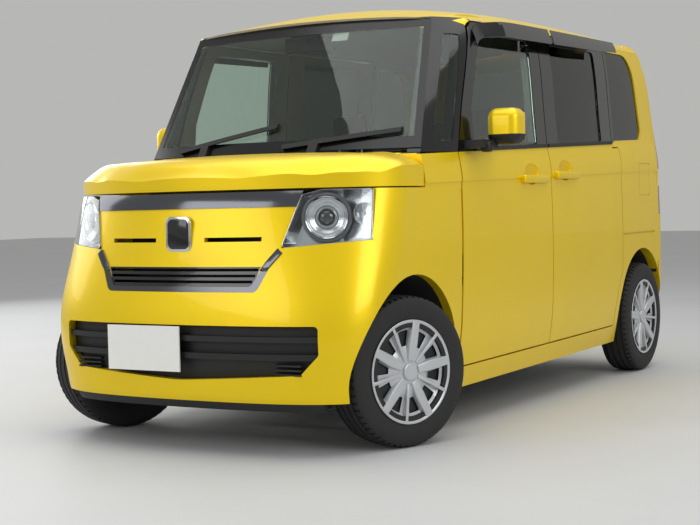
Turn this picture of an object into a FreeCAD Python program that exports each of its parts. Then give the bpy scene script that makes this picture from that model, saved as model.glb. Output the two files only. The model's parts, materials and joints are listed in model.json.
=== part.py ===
import FreeCAD, Part
import math
import os

V = FreeCAD.Vector
os.makedirs("parts", exist_ok=True)

# Kei car, a tall wagon with sliding rear doors, in millimetres.
# The ground is z = 0, the front looks along -Y, the car's left is +X.

# Overall sizes of the vehicle
length = 3395.0
width = 1475.0
height = 1790.0
wheelbase = 2520.0
front_overhang = 500.0
track = 1305.0
front_y = -length / 2
rear_y = length / 2
front_axle_y = front_y + front_overhang
rear_axle_y = front_axle_y + wheelbase
half_width = width / 2
wheel_x = track / 2

# Tyres and wheels
rim_diameter = 355.6
tyre_wall = 100.7
tyre_width = 157.0
tyre_radius = rim_diameter / 2 + tyre_wall
steer_at_rest = -19.85

# Clearances, gaps and cuts
seat_gap = 0.3
shut_gap = 6.5
overrun = 40.0
reach = 2000.0

# Lines along the side: height above the front axle and above the rear axle
sill_heights = (193.0, 215.5)
crease_heights = (425.0, 455.0)
swage_heights = (964.0, 1027.5)
belt_heights = (1072.0, 1176.0)
header_heights = (1613.0, 1650.0)


def at(heights, y):
    """Height of a side line at a station."""
    return heights[0] + (heights[1] - heights[0]) * (y - front_axle_y) / wheelbase


def between(x, xs, ys):
    """Straight interpolation in a table, held at its ends."""
    if x <= xs[0]:
        return ys[0]
    for x0, x1, y0, y1 in zip(xs, xs[1:], ys, ys[1:]):
        if x <= x1:
            return y0 + (y1 - y0) * (x - x0) / (x1 - x0)
    return ys[-1]


# Plan of the side: the widest stretch is at the doors
front_taper = 6.0
rear_taper = 17.0
front_taper_start = 500.0
taper_end = 1600.0
rear_taper_power_share = 2.5


def plan_half(y):
    """Half width of the body at its widest level, at a station."""
    if y < -front_taper_start:
        run = (-front_taper_start - y) / (taper_end - front_taper_start)
        return half_width - front_taper * run ** 2
    return half_width - rear_taper * (max(y, 0) / taper_end) ** rear_taper_power_share


# Roof line: stations as shares of half the length, and how far the crown lies below the overall height
roof_station_shares = (-0.468, -0.442, -0.4, -0.35, -0.295, -0.118, 0.06, 0.295, 0.53, 0.736, 0.854, 0.93)
roof_drops = (143.0, 133.0, 112.0, 91.0, 72.0, 31.0, 9.0, 0, 0, 13.0, 40.0, 74.0)


roof_margin = 1.5


def crown_z(y):
    """Height of the roof's centre line at a station."""
    return height - roof_margin - between(y / rear_y, roof_station_shares, roof_drops)


# Bands of the side section, each a row of (line, step above the line in mm, share of the half width)
sill_lip = 35.0
side_bands = (
    (("sill", -sill_lip, 0.928), ("sill", 60.0, 0.962), ("sill", 150.0, 0.981), ("crease", 0, 0.992)),
    (("crease", 0, 0.992), ("crease", 180.0, 0.999), ("crease", 360.0, 1.0), ("swage", 0, 0.9925)),
    (("swage", 0, 0.998), ("belt", -60.0, 0.989), ("belt", 0, 0.972)),
)
glass_shares = ((0, 0.972), (0.333, 0.9535), (0.667, 0.9375), (1.0, 0.906))
rail_shares = ((0, 0.906), (0.17, 0.872), (0.34, 0.82))
roof_shares = ((0, 0.906), (0.17, 0.872), (0.34, 0.82), (0.48, 0.745), (0.62, 0.635), (0.76, 0.49),
               (0.9, 0.3), (1.0, 0))


def band_heights(band, y):
    """Height and half-width share of each point of a band at a station."""
    lines = {"sill": sill_heights, "crease": crease_heights, "swage": swage_heights, "belt": belt_heights}
    return [(at(lines[name], y) + step, share) for name, step, share in band]


def glass_heights(y):
    belt = at(belt_heights, y)
    return [(belt + (at(header_heights, y) - belt) * part, share) for part, share in glass_shares]


def roof_heights(y, shares):
    header = at(header_heights, y)
    return [(header + (crown_z(y) - header) * part, share) for part, share in shares]


def side_x(y, z):
    """Half width of the side at a station and height."""
    points = []
    for band in side_bands:
        points += band_heights(band, y)
    points += glass_heights(y) + roof_heights(y, roof_shares)
    points.sort()
    return plan_half(y) * between(z, [p[0] for p in points], [p[1] for p in points])


# Basic shapes
def box(x0, x1, y0, y1, z0, z1):
    return Part.makeBox(x1 - x0, y1 - y0, z1 - z0, V(x0, y0, z0))


def rod(start, end, radius):
    return Part.makeCylinder(radius, (end - start).Length, start, end - start)


def mirrored(shape):
    return shape.mirror(V(0, 0, 0), V(1, 0, 0))


def patch(rows):
    """Smooth surface through a grid of points."""
    surface = Part.BSplineSurface()
    surface.interpolate(rows)
    return surface.toShape()


def rounded_wire(corners):
    """Closed wire through (point, radius) corners, each rounded by its radius."""
    ends = []
    edges = []
    for i, (corner, radius) in enumerate(corners):
        before = (corners[i - 1][0] - corner).normalize()
        after = (corners[(i + 1) % len(corners)][0] - corner).normalize()
        if radius <= 0:
            ends.append((corner, corner))
            continue
        half_angle = before.getAngle(after) / 2
        cut = radius / math.tan(half_angle)
        start = corner + before * cut
        end = corner + after * cut
        middle = corner + (before + after).normalize() * (radius / math.sin(half_angle) - radius)
        edges.append(Part.Arc(start, middle, end).toShape())
        ends.append((start, end))
    for i, (start, end) in enumerate(ends):
        following = ends[(i + 1) % len(ends)][0]
        if (following - end).Length > seat_gap / 10:
            edges.append(Part.makeLine(end, following))
    return Part.Wire(Part.__sortEdges__(edges))


def face_yz(points):
    """Flat face in the plane x = 0 from (y, z) or (y, z, radius) points."""
    return Part.Face(rounded_wire([(V(0, p[0], p[1]), p[2] if len(p) > 2 else 0) for p in points]))


def face_xz(points):
    """Flat face in the plane y = 0 from (x, z) or (x, z, radius) points."""
    return Part.Face(rounded_wire([(V(p[0], 0, p[1]), p[2] if len(p) > 2 else 0) for p in points]))


def face_xy(points):
    """Flat face in the plane z = 0 from (x, y) or (x, y, radius) points."""
    return Part.Face(rounded_wire([(V(p[0], p[1], 0), p[2] if len(p) > 2 else 0) for p in points]))


def grown(face, distance):
    """The face with its outline moved out, or in if the distance is negative."""
    return face.makeOffset2D(distance) if distance else face


def along(face, direction, start, end):
    moved = face.copy()
    moved.translate(direction * start)
    return moved.extrude(direction * (end - start))


def along_x(face, start=0, end=reach):
    return along(face, V(1, 0, 0), start, end)


def along_y(face, start, end):
    return along(face, V(0, 1, 0), start, end)


def along_z(face, start, end):
    return along(face, V(0, 0, 1), start, end)


def rounded_box(x0, x1, y0, y1, z0, z1, radius):
    """Block with all its edges rounded."""
    block = box(x0, x1, y0, y1, z0, z1)
    return block.makeFillet(radius, block.Edges)


def saved(name, *shapes):
    """Writes all solids of the shapes to one file."""
    found = [solid for shape in shapes for solid in shape.Solids]
    found.sort(key=lambda solid: -solid.Volume)
    shape = found[0] if len(found) == 1 else Part.makeCompound(found)
    shape.exportStep("parts/" + name + ".step")


# Side walls. Each band is a smooth sheet pushed inwards
door_wall = 48.0
side_first_y = -1000.0
side_last_y = 1700.0
side_steps = 8


def side_sheets(first, last, steps):
    """Sheets of the painted side between two stations, from sill to roof joint."""
    stations = [first + (last - first) * i / steps for i in range(steps + 1)]
    sections = [[band_heights(band, y) for y in stations] for band in side_bands]
    sections.append([glass_heights(y) for y in stations])
    sections.append([roof_heights(y, rail_shares) for y in stations])
    sheets = []
    for section in sections:
        rows = [[V(plan_half(y) * share, y, z) for z, share in row] for y, row in zip(stations, section)]
        sheets.append(patch(rows))
    return sheets


def side_wall(first, last, steps, thickness):
    slabs = [sheet.extrude(V(-thickness, 0, 0)) for sheet in side_sheets(first, last, steps)]
    return slabs[0].fuse(slabs[1:])


side_slab = side_wall(side_first_y, side_last_y, side_steps, door_wall)

# Door, window and arch lines in the side view
door_front_bottom_y = -818.0
door_front_belt_y = -788.0
door_knee = (-712.0, 1300.0)
door_front_top_y = -575.0
door_split_y = 100.0
door_bottom_rise = 52.0
sliding_rear_y = 1012.0
sliding_rear_upper_y = 925.0
arch_radius = 345.0
arch_lift = 10.0
arch_z = tyre_radius + arch_lift
door_arch_gap = 50.0
frame_width = 42.0
belt_moulding = 16.0
mirror_sail = 150.0
front_glass_rear_y = -5.0
slide_glass_front_y = 230.0
slide_glass_rear_y = 785.0
quarter_front_y = 958.0
quarter_rear_y = 1395.0
quarter_rear_top_y = 1330.0
quarter_top_drop = 26.0
glass_inset = 7.0
glass_thickness = 4.5


def arch_disc(y, radius):
    return Part.Face(Part.Wire(Part.makeCircle(radius, V(0, y, arch_z), V(1, 0, 0))))


def front_door_face():
    """Outline of the front door: straight lower front edge, leaning upper front edge."""
    return face_yz([
        (door_front_bottom_y, at(sill_heights, door_front_bottom_y) + door_bottom_rise, 18.0),
        (door_split_y, at(sill_heights, door_split_y) + door_bottom_rise, 6.0),
        (door_split_y, at(header_heights, door_split_y), 10.0),
        (door_front_top_y, at(header_heights, door_front_top_y), 45.0),
        (door_knee[0], door_knee[1]),
        (door_front_belt_y, at(belt_heights, door_front_belt_y)),
    ])


def sliding_door_face():
    """Outline of the sliding door: the wheel arch bites its lower rear corner."""
    step_z = at(belt_heights, sliding_rear_y) - belt_moulding
    plain = face_yz([
        (door_split_y, at(sill_heights, door_split_y) + door_bottom_rise, 6.0),
        (sliding_rear_y, at(sill_heights, sliding_rear_y) + door_bottom_rise),
        (sliding_rear_y, step_z, 20.0),
        (sliding_rear_upper_y, step_z - 6.0),
        (sliding_rear_upper_y, at(header_heights, sliding_rear_upper_y), 20.0),
        (door_split_y, at(header_heights, door_split_y), 10.0),
    ])
    return plain.cut(arch_disc(rear_axle_y, arch_radius + door_arch_gap)).Faces[0]


def front_door_window_face():
    """Glass opening of the front door, above the belt."""
    low_y = door_front_belt_y + mirror_sail
    low_z = at(belt_heights, low_y) + belt_moulding
    top_y = door_front_top_y + frame_width * 1.7
    return face_yz([
        (low_y, low_z, 8.0),
        (front_glass_rear_y, at(belt_heights, front_glass_rear_y) + belt_moulding, 14.0),
        (front_glass_rear_y, at(header_heights, front_glass_rear_y) - frame_width, 22.0),
        (top_y, at(header_heights, top_y) - frame_width, 45.0),
        (low_y, low_z + mirror_sail, 60.0),
    ])


def sliding_window_face():
    return face_yz([
        (slide_glass_front_y, at(belt_heights, slide_glass_front_y) + belt_moulding, 14.0),
        (slide_glass_rear_y, at(belt_heights, slide_glass_rear_y) + belt_moulding, 14.0),
        (slide_glass_rear_y, at(header_heights, slide_glass_rear_y) - frame_width, 22.0),
        (slide_glass_front_y, at(header_heights, slide_glass_front_y) - frame_width, 22.0),
    ])


def quarter_window_face():
    return face_yz([
        (quarter_front_y, at(belt_heights, quarter_front_y) + belt_moulding, 10.0),
        (quarter_rear_y, at(belt_heights, quarter_rear_y) + belt_moulding, 55.0),
        (quarter_rear_top_y, at(header_heights, quarter_rear_top_y) - quarter_top_drop, 150.0),
        (quarter_front_y, at(header_heights, quarter_front_y) - quarter_top_drop, 14.0),
    ])


def side_glass(face):
    """Pane that fills a side window opening, set back from the outer surface."""
    sheets = side_sheets(side_first_y, side_last_y, side_steps)
    pane = sheets[-2].copy()
    pane.translate(V(-glass_inset, 0, 0))
    pane = pane.extrude(V(-glass_thickness, 0, 0))
    return pane.common(along_x(grown(face, -seat_gap)))


# Tail: how far it lies in front of the rearmost point, at even heights
tail_low_z = 180.0
tail_high_z = 1700.0
tail_insets = (60.0, 4.0, 7.0, 13.0, 21.0, 39.0, 79.0, 165.0)
tail_bow = 12.0
tail_wall = 40.0
tail_half_span = 690.0
tail_columns = 10
tail_rows = 14
corner_radius = 50.0
corner_wall = 32.0
corner_first_y = 1400.0
corner_tail_run = 70.0
corner_columns = 20
corner_joint_step = 30.0
tail_first_y = 900.0


def smooth_between(x, low, high, values):
    """Smooth curve through values that stand at even steps."""
    steps = len(values) - 1
    place = min(max((x - low) / (high - low) * steps, 0), steps - 1e-9)
    i = int(place)
    t = place - i
    p0, p1, p2, p3 = (values[min(max(k, 0), steps)] for k in (i - 1, i, i + 1, i + 2))
    return p1 + t / 2 * (p2 - p0 + t * (2 * p0 - 5 * p1 + 4 * p2 - p3 + t * (3 * (p1 - p2) + p3 - p0)))


def tail_y(x, z):
    """Station of the rear surface at a half width and height."""
    inset = smooth_between(z, tail_low_z, tail_high_z, tail_insets)
    return rear_y - inset - tail_bow * (x / half_width) ** 2


def tail_levels():
    return [tail_low_z + (tail_high_z - tail_low_z) * i / tail_rows for i in range(tail_rows + 1)]


def corner_start(z):
    """Station where the side turns into the rear corner."""
    return tail_y(half_width, z) - corner_radius


def tail_slab():
    """Rear wall over its full width."""
    rows = []
    for i in range(tail_columns + 1):
        x = tail_half_span * (2 * i / tail_columns - 1)
        rows.append([V(x, tail_y(x, z), z) for z in tail_levels()])
    return patch(rows).extrude(V(0, -tail_wall, 0))


def corner_point(z, part):
    """Point on the left rear corner at a height, from the side (0) round to the tail (1)."""
    start = corner_start(z)
    x = side_x(start, z)
    side_run = start - corner_first_y
    arc_run = corner_radius * math.pi / 2
    run = part * (side_run + arc_run + corner_tail_run)
    if run < side_run:
        y = corner_first_y + run
        return V(side_x(y, z), y, z)
    if run < side_run + arc_run:
        turn = (run - side_run) / corner_radius
        return V(x - corner_radius * (1 - math.cos(turn)), start + corner_radius * math.sin(turn), z)
    x -= corner_radius + run - side_run - arc_run
    return V(x, tail_y(x, z) + start + corner_radius - tail_y(side_x(start, z) - corner_radius, z), z)


def corner_slab():
    """Left rear corner, from the side wall round to the tail."""
    rows = [[corner_point(z, i / corner_columns) for z in tail_levels()] for i in range(corner_columns + 1)]
    return patch(rows).extrude(V(-corner_wall, -corner_wall, 0))


def behind_joint(gap):
    """Prism of all that lies behind the joint between side wall and rear corner."""
    levels = tail_levels()[::2]
    edge = [(corner_start(z) - corner_joint_step + gap, z) for z in levels]
    return along_x(face_yz([(reach, tail_low_z), *edge, (reach, tail_high_z)]))


rear_wall = tail_slab()
rear_corner = corner_slab().common(behind_joint(seat_gap))

# Rear lines, in the rear view and the side view
tailgate_half_low = 655.0
tailgate_half_high = 560.0
tailgate_low_z = 560.0
lamp_low_z = 806.0
lamp_high_z = 1273.0
lamp_front_y = 1602.0
rear_bumper_high_z = 556.0
rear_bumper_front_y = 1585.0


def tailgate_face():
    return face_xz([
        (-tailgate_half_low, tailgate_low_z, 30.0), (tailgate_half_low, tailgate_low_z, 30.0),
        (tailgate_half_low, lamp_high_z), (tailgate_half_high, height), (-tailgate_half_high, height),
        (-tailgate_half_low, lamp_high_z)])


def build_rear_corner():
    """Painted corner pillar between side, tailgate, lamp and bumper."""
    corner = rear_corner.cut(along_y(grown(tailgate_face(), shut_gap), tail_first_y, reach))
    corner = corner.cut(box(0, reach, lamp_front_y, reach, lamp_low_z, lamp_high_z))
    corner = corner.cut(box(0, reach, rear_bumper_front_y, reach, 0, rear_bumper_high_z + seat_gap))
    corner = corner.cut(box(0, roof_joint_x + seat_gap, -reach, roof_rear_y + seat_gap, 0, height))
    return max(corner.Solids, key=lambda solid: solid.Volume)


def build_body_side():
    """Body side: sill, cant rail, rear quarter with its arch and window."""
    side = side_slab.common(along_x(face_yz([
        (door_front_bottom_y, at(sill_heights, side_first_y) - sill_lip),
        (tail_first_y, at(sill_heights, tail_first_y) - sill_lip),
        (tail_first_y, height), (door_front_top_y, height),
        (door_front_top_y, at(header_heights, door_front_top_y) - overrun),
        (door_front_bottom_y, at(sill_heights, side_first_y) + overrun * 3)])))
    rear = side_slab.cut(behind_joint(0)).cut(box(0, reach, -reach, tail_first_y, 0, height))
    rear = rear.cut(box(0, reach, lamp_front_y, reach, lamp_low_z, lamp_high_z))
    rear = rear.cut(box(0, reach, rear_bumper_front_y, reach, 0, rear_bumper_high_z + seat_gap))
    whole = side.fuse(rear)
    whole = whole.cut(along_x(grown(front_door_face(), shut_gap / 2)))
    whole = whole.cut(along_x(grown(sliding_door_face(), shut_gap / 2)))
    whole = whole.cut(along_x(quarter_window_face()))
    whole = whole.cut(box(0, roof_joint_x + seat_gap, -reach, reach, 0, height))
    return whole.cut(along_x(arch_disc(rear_axle_y, arch_radius)))


# Windscreen: lower and upper corner, and how far the middle stands forward of the corners
screen_low = (644.0, -961.0, 1107.0)
screen_high = (571.0, -706.0, 1627.0)
screen_low_bow = 89.0
screen_high_bow = 44.0
screen_crown = 18.0
screen_thickness = 5.0
screen_columns = 6
screen_rows = 4
screen_lean = (screen_high[1] - screen_low[1]) / (screen_high[2] - screen_low[2])
screen_inward = V(0, 1, -screen_lean).normalize()


def screen_edge(z):
    """Edge of the windscreen at a height, as x and y."""
    up = (z - screen_low[2]) / (screen_high[2] - screen_low[2])
    return (screen_low[0] + (screen_high[0] - screen_low[0]) * up,
            screen_low[1] + (screen_high[1] - screen_low[1]) * up)


def screen_sheet(low=0, high=1.0, side=1.0):
    rows = []
    for i in range(screen_columns + 1):
        across = (2 * i / screen_columns - 1) * side
        row = []
        for j in range(screen_rows + 1):
            up = low + (high - low) * j / screen_rows
            z = screen_low[2] + (screen_high[2] - screen_low[2]) * up
            x, y = screen_edge(z)
            bow = (screen_low_bow + (screen_high_bow - screen_low_bow) * up) * (1 - across ** 2)
            row.append(V(x * across, y - bow, z + screen_crown * up * (1 - across ** 2)))
        rows.append(row)
    return patch(rows)


def screen_room():
    """Space taken by the glass and everything in front of it, with the seating gap behind."""
    sheet = screen_sheet(-0.1, 1.0, 1.0)
    sheet.translate(screen_inward * (screen_thickness + seat_gap))
    return sheet.extrude(screen_inward * -(overrun * 3))


# Roof: full width at the front, between the roof joints behind the front doors
roof_wall = 38.0
roof_front_y = -772.0
roof_rear_y = 1483.0
roof_joint_x = 603.0
roof_end_y = 1560.0


def header_half(y):
    """Half width of the roof at the window top, narrowing in front of the doors."""
    full = side_x(y, at(header_heights, y))
    edge_x, edge_y = screen_high[0], screen_high[1]
    if y >= door_front_top_y:
        return full
    start = side_x(door_front_top_y, at(header_heights, door_front_top_y))
    return start + (edge_x - start) * (door_front_top_y - y) / (door_front_top_y - edge_y)


def roof_sheet():
    stations = [roof_front_y, screen_high[1], (screen_high[1] + door_front_top_y) / 2, door_front_top_y]
    count = 8
    stations += [door_front_top_y + (roof_end_y - door_front_top_y) * (i + 1) / count for i in range(count)]
    rows = []
    for y in stations:
        base = side_x(y, at(header_heights, y))
        heights = roof_heights(y, roof_shares)
        half = [(header_half(y) / base * plan_half(y) * share, z) for z, share in heights]
        row = [V(-x, y, z) for x, z in half] + [V(x, y, z) for x, z in reversed(half[:-1])]
        rows.append(row)
    return patch(rows)


def build_roof():
    roof = roof_sheet().extrude(V(0, 0, -roof_wall))
    roof = roof.cut(box(-reach, reach, roof_rear_y, reach, 0, reach))
    for x0, x1 in ((roof_joint_x, reach), (-reach, -roof_joint_x)):
        roof = roof.cut(box(x0, x1, door_front_top_y, reach, 0, reach))
    opening = along_x(grown(front_door_face(), shut_gap), roof_joint_x - overrun * 3)
    return roof.cut(screen_room()).cut(opening).cut(mirrored(opening))


# Front pillars, between windscreen and door, each with its quarter window
pillar_inward = V(-60.0, -20.0, 0)
pillar_bulge = 5.0
pillar_low_z = 1085.0
pillar_high_z = 1635.0
quarter_glass_low_z = 1132.0
quarter_glass_high_z = 1565.0
front_frame = 42.0
rear_frame = 34.0


def door_edge_y(z):
    """Station of the front door's leading edge above the belt."""
    return between(z, (at(belt_heights, door_front_belt_y), door_knee[1], at(header_heights, door_front_top_y)),
                   (door_front_belt_y, door_knee[0], door_front_top_y))


def pillar_sheet():
    rows = []
    for part in (0, 0.5, 1.0):
        row = []
        for i in range(6):
            z = pillar_low_z + (pillar_high_z - pillar_low_z) * i / 5
            x0, y0 = screen_edge(z)
            y1 = door_edge_y(z) - shut_gap
            x1 = side_x(y1, z)
            bulge = pillar_bulge * 4 * part * (1 - part)
            row.append(V(x0 + (x1 - x0) * part + bulge, y0 + (y1 - y0) * part, z))
        rows.append(row)
    return patch(rows)


def front_quarter_face():
    low_front = screen_edge(quarter_glass_low_z)[1] + front_frame
    high_front = screen_edge(quarter_glass_high_z)[1] + front_frame
    return face_yz([
        (low_front, quarter_glass_low_z, 12.0),
        (door_edge_y(quarter_glass_low_z) - rear_frame, quarter_glass_low_z, 12.0),
        (door_edge_y(quarter_glass_high_z) - rear_frame, quarter_glass_high_z, 8.0),
        (high_front, quarter_glass_high_z, 8.0)])


def build_front_pillar(roof):
    slab = pillar_sheet().extrude(pillar_inward)
    below = at(belt_heights, door_front_belt_y)
    slab = slab.cut(box(0, reach, -reach, 0, 0, below + seat_gap))
    slab = slab.cut(along_x(front_quarter_face()))
    slab = slab.cut(screen_room())
    return slab.cut(roof)


def front_quarter_pane():
    pane = pillar_sheet()
    pane.translate(pillar_inward * (glass_inset / pillar_inward.Length))
    pane = pane.extrude(pillar_inward * (glass_thickness / pillar_inward.Length))
    return pane.common(along_x(grown(front_quarter_face(), -seat_gap)))


# Nose, at even heights: setback of the centre line, shares of the half width of the flat and the corner
nose_low_z = 150.0
nose_high_z = 962.0
nose_setbacks = (85.0, 27.0, 14.0, 12.5, 24.0, 37.0, 48.5, 63.0, 94.0)
nose_flat_shares = (0.53, 0.542, 0.542, 0.542, 0.525, 0.495, 0.465, 0.446, 0.434)
nose_corner_shares = (0.985, 0.993, 0.997, 1.0, 0.995, 0.98, 0.964, 0.952, 0.944)
nose_corner_setbacks = (120.0, 75.0, 60.0, 57.0, 80.0, 117.0, 153.0, 182.0, 217.0)
nose_side_setbacks = (305.0, 298.0, 298.0, 298.0, 312.0, 343.0, 374.0, 398.0, 424.0)
nose_rows = 10
fender_rows = 6
band_rows = 3
fender_rear_y = -770.0
nose_samples = 60
bumper_wall = 34.0
lamp_depth = 80.0
grille_wall = 22.0
grille_inset = 6.0


def nose_fine(level):
    """Points of the nose at a level, from the centre line to the start of the side."""
    z = nose_low_z + (nose_high_z - nose_low_z) * level / (len(nose_setbacks) - 1)
    centre = front_y + nose_setbacks[level]
    side_y = front_y + nose_side_setbacks[level]
    side = side_x(side_y, z)
    corner_y = front_y + nose_corner_setbacks[level]
    fine = []
    for i in range(nose_samples + 1):
        share = i / nose_samples
        b1 = 3 * share * (1 - share) ** 2
        b2 = 3 * share ** 2 * (1 - share)
        b3 = share ** 3
        x = b1 * nose_flat_shares[level] * half_width + b2 * nose_corner_shares[level] * side + b3 * side
        fine.append(V(x, (1 - b2 - b3) * centre + b2 * corner_y + b3 * side_y, z))
    return fine


def nose_curve(level):
    """The nose at a level as evenly spaced points."""
    fine = nose_fine(level)
    z = fine[0].z
    runs = [0]
    for start, end in zip(fine, fine[1:]):
        runs.append(runs[-1] + (end - start).Length)
    wanted = [runs[-1] * i / nose_rows for i in range(nose_rows + 1)]
    return [V(between(run, runs, [p.x for p in fine]), between(run, runs, [p.y for p in fine]), z)
            for run in wanted]


def nose_sheet():
    """Left half of the nose and wing surface."""
    curves = [nose_curve(level) for level in range(len(nose_setbacks))]
    rows = [[curve[i] for curve in curves] for i in range(nose_rows + 1)]
    for i in range(1, fender_rows + 1):
        row = []
        for start in rows[nose_rows]:
            y = start.y + (fender_rear_y - start.y) * i / fender_rows
            row.append(V(side_x(y, start.z), y, start.z))
        rows.append(row)
    return patch(rows)


def front_band(depth, inset=0):
    """Slab behind the whole nose, round both corners to the wings."""
    curves = [nose_curve(level) for level in range(len(nose_setbacks))]
    half = [[curve[i] for curve in curves] for i in range(nose_rows + 1)]
    for i in range(1, band_rows + 1):
        row = []
        for start in half[nose_rows]:
            y = start.y + (fender_rear_y - start.y) * i / fender_rows
            row.append(V(side_x(y, start.z), y, start.z))
        half.append(row)
    other = [[V(-p.x, p.y, p.z) for p in row] for row in reversed(half[1:])]
    sheet = patch(other + half)
    sheet.translate(V(0, inset, 0))
    return sheet.makeOffsetShape(-depth, seat_gap / 30, fill=True)


def nose_slab(depth, inset=0):
    sheet = nose_sheet()
    sheet.translate(V(0, inset, 0))
    slab = sheet.makeOffsetShape(-depth, seat_gap / 30, fill=True)
    return slab.cut(box(-reach, 0, -reach, 0, 0, reach))


# Front lines: headlamps, grille aperture and lower opening in the front view, seams in the side view
lamp_top_z = 951.0
lamp_outer_low_z = 776.0
lamp_inner_low = (411.0, 746.0)
lamp_inner_top = (466.0, 934.0)
lamp_top_step = 60.0
lamp_side_top_y = -1376.0
lamp_side_low_y = -1427.0
lamp_side_step = 12.0
bumper_seam = (-1330.0, 620.0)
bumper_seam_step = 60.0
bumper_seam_high = (18.0, 720.0)
aperture_low = (337.0, 592.0)
opening_top = (568.0, 474.0)
opening_side_z = 372.0
opening_low = (500.0, 301.0)
opening_mid_z = 272.0
bumper_low_z = 198.0
bumper_low_x = 668.0
bumper_flare_z = 310.0
panel_gap = 3.0
far_y = front_y - overrun
beyond_x = half_width + overrun


def lamp_face():
    return face_xz([
        (lamp_inner_low[0], lamp_inner_low[1], 14.0), (beyond_x, lamp_outer_low_z), (beyond_x, lamp_top_z),
        (lamp_inner_top[0] + lamp_top_step, lamp_top_z), (lamp_inner_top[0], lamp_inner_top[1], 10.0)])


def lamp_side_face():
    low = lamp_outer_low_z - overrun * 4
    high = lamp_top_z + overrun
    return face_yz([
        (far_y, low), (lamp_side_low_y - lamp_side_step, low), (lamp_side_low_y, lamp_outer_low_z, 10.0),
        (lamp_side_top_y, high), (far_y, high)])


def aperture_face():
    """Left half of the opening for grille panel and bright bars."""
    return face_xz([
        (-overrun, lamp_top_z + overrun), (lamp_inner_top[0], lamp_top_z + overrun), lamp_inner_top,
        lamp_inner_low, (aperture_low[0], aperture_low[1], 30.0), (-overrun, aperture_low[1])])


def opening_face():
    """Lower grille opening, in the front view."""
    return face_xz([
        (-opening_top[0], opening_top[1], 16.0), (opening_top[0], opening_top[1], 16.0),
        (opening_top[0], opening_side_z, 20.0), (opening_low[0], opening_low[1], 30.0),
        (0, opening_mid_z, 900.0), (-opening_low[0], opening_low[1], 30.0),
        (-opening_top[0], opening_side_z, 20.0)])


def bumper_side_face():
    """Side view of the bumper: up to the lamp, then down a slanting seam to the arch."""
    return face_yz([
        (far_y, nose_low_z), (bumper_seam[0] + bumper_seam_step, nose_low_z),
        (bumper_seam[0] + bumper_seam_step, bumper_seam[1] - bumper_seam_step),
        (bumper_seam[0], bumper_seam[1]), (lamp_side_low_y + bumper_seam_high[0], bumper_seam_high[1], 60.0),
        (lamp_side_low_y, lamp_outer_low_z), (far_y, lamp_outer_low_z)])


def bumper_front_face():
    return face_xz([
        (-overrun, bumper_low_z), (bumper_low_x, bumper_low_z, 25.0), (beyond_x, bumper_flare_z),
        (beyond_x, lamp_outer_low_z - seat_gap), (lamp_inner_low[0], lamp_inner_low[1] - seat_gap),
        (-overrun, lamp_inner_low[1] - seat_gap)])


def through(face, start=far_y, end=0):
    """Prism of a left half face and its mirror image, running back through the nose."""
    prism = along_y(face, start, end)
    return prism.fuse(mirrored(prism)).removeSplitter()


def build_front_bumper():
    side = along_x(bumper_side_face(), -reach)
    bumper = front_band(bumper_wall).common(side).common(through(bumper_front_face()))
    bumper = bumper.cut(through(aperture_face()))
    bumper = bumper.cut(along_y(opening_face(), far_y, 0))
    return bumper.cut(along_x(arch_disc(front_axle_y, arch_radius), -reach))


def build_headlamp():
    lamp = nose_slab(lamp_depth).common(along_y(grown(lamp_face(), -seat_gap), far_y, 0))
    return lamp.common(along_x(lamp_side_face(), lamp_inner_low[0] - overrun))


# Grille panel with slots, bright bar and U, lower grille with its bars and the air dam
bar_low_z = 892.0
slot_lines = ((110.0, 337.0, 771.0, 787.0), (-335.0, 335.0, 666.0, 676.0), (-325.0, 325.0, 645.0, 655.0),
              (-315.0, 315.0, 624.0, 634.0))
trim_low_z = 612.0
trim_width = 24.0
trim_proud = 5.0
lower_bar_heights = ((416.0, 436.0), (352.0, 374.0))
lower_grille_inset = 12.0
lower_grille_wall = 40.0
lower_back_wall = 14.0
dam_half_width = 560.0
dam_low_z = 166.0
dam_wall = 18.0
dam_inset = 8.0


def build_grille():
    """Yellow panel with its slots, and the bright bar and U around it."""
    outer = through(grown(aperture_face(), -seat_gap))
    bar = outer.common(box(-reach, reach, far_y, 0, bar_low_z, lamp_top_z - panel_gap))
    inner = through(face_xz([
        (-overrun, reach), (lamp_inner_top[0] - trim_width, reach),
        (lamp_inner_top[0] - trim_width, lamp_inner_top[1]),
        (lamp_inner_low[0] - trim_width, lamp_inner_low[1]),
        (aperture_low[0] - trim_width, trim_low_z, 20.0), (-overrun, trim_low_z)]))
    low = outer.cut(inner).common(box(-reach, reach, far_y, 0, 0, lamp_inner_low[1] - overrun * 2))
    trim_slab = front_band(bumper_wall, trim_proud / 2)
    trim = [trim_slab.common(bar), trim_slab.common(low)]
    panel = front_band(grille_wall, grille_inset).common(outer.cut(lifted(low)))
    slots = [box(x0, x1, far_y, 0, z0, z1) for x0, x1, z0, z1 in slot_lines]
    slots += [mirrored(slots[0]), box(-reach, reach, far_y, 0, bar_low_z - seat_gap, reach)]
    return panel.cut(slots), trim


def lifted(solid):
    """A copy stretched up by the seating gap, to cut its neighbour clear."""
    up = solid.copy()
    up.translate(V(0, 0, seat_gap))
    return solid.fuse(up)


def build_lower_grille():
    opening = along_y(grown(opening_face(), -seat_gap), far_y, 0)
    bars = Part.makeCompound([box(-reach, reach, far_y, 0, z0, z1) for z0, z1 in lower_bar_heights])
    front = front_band(lower_grille_wall - panel_gap, lower_grille_inset).common(opening).common(bars)
    back = front_band(lower_back_wall, lower_grille_inset + lower_grille_wall - lower_back_wall).common(opening)
    return back.fuse(front.Solids)


def build_air_dam():
    """Black air dam hung under the bumper's lower edge."""
    room = box(-dam_half_width, dam_half_width, far_y, 0, dam_low_z, bumper_low_z - seat_gap)
    return front_band(dam_wall, dam_inset).common(room)


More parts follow.
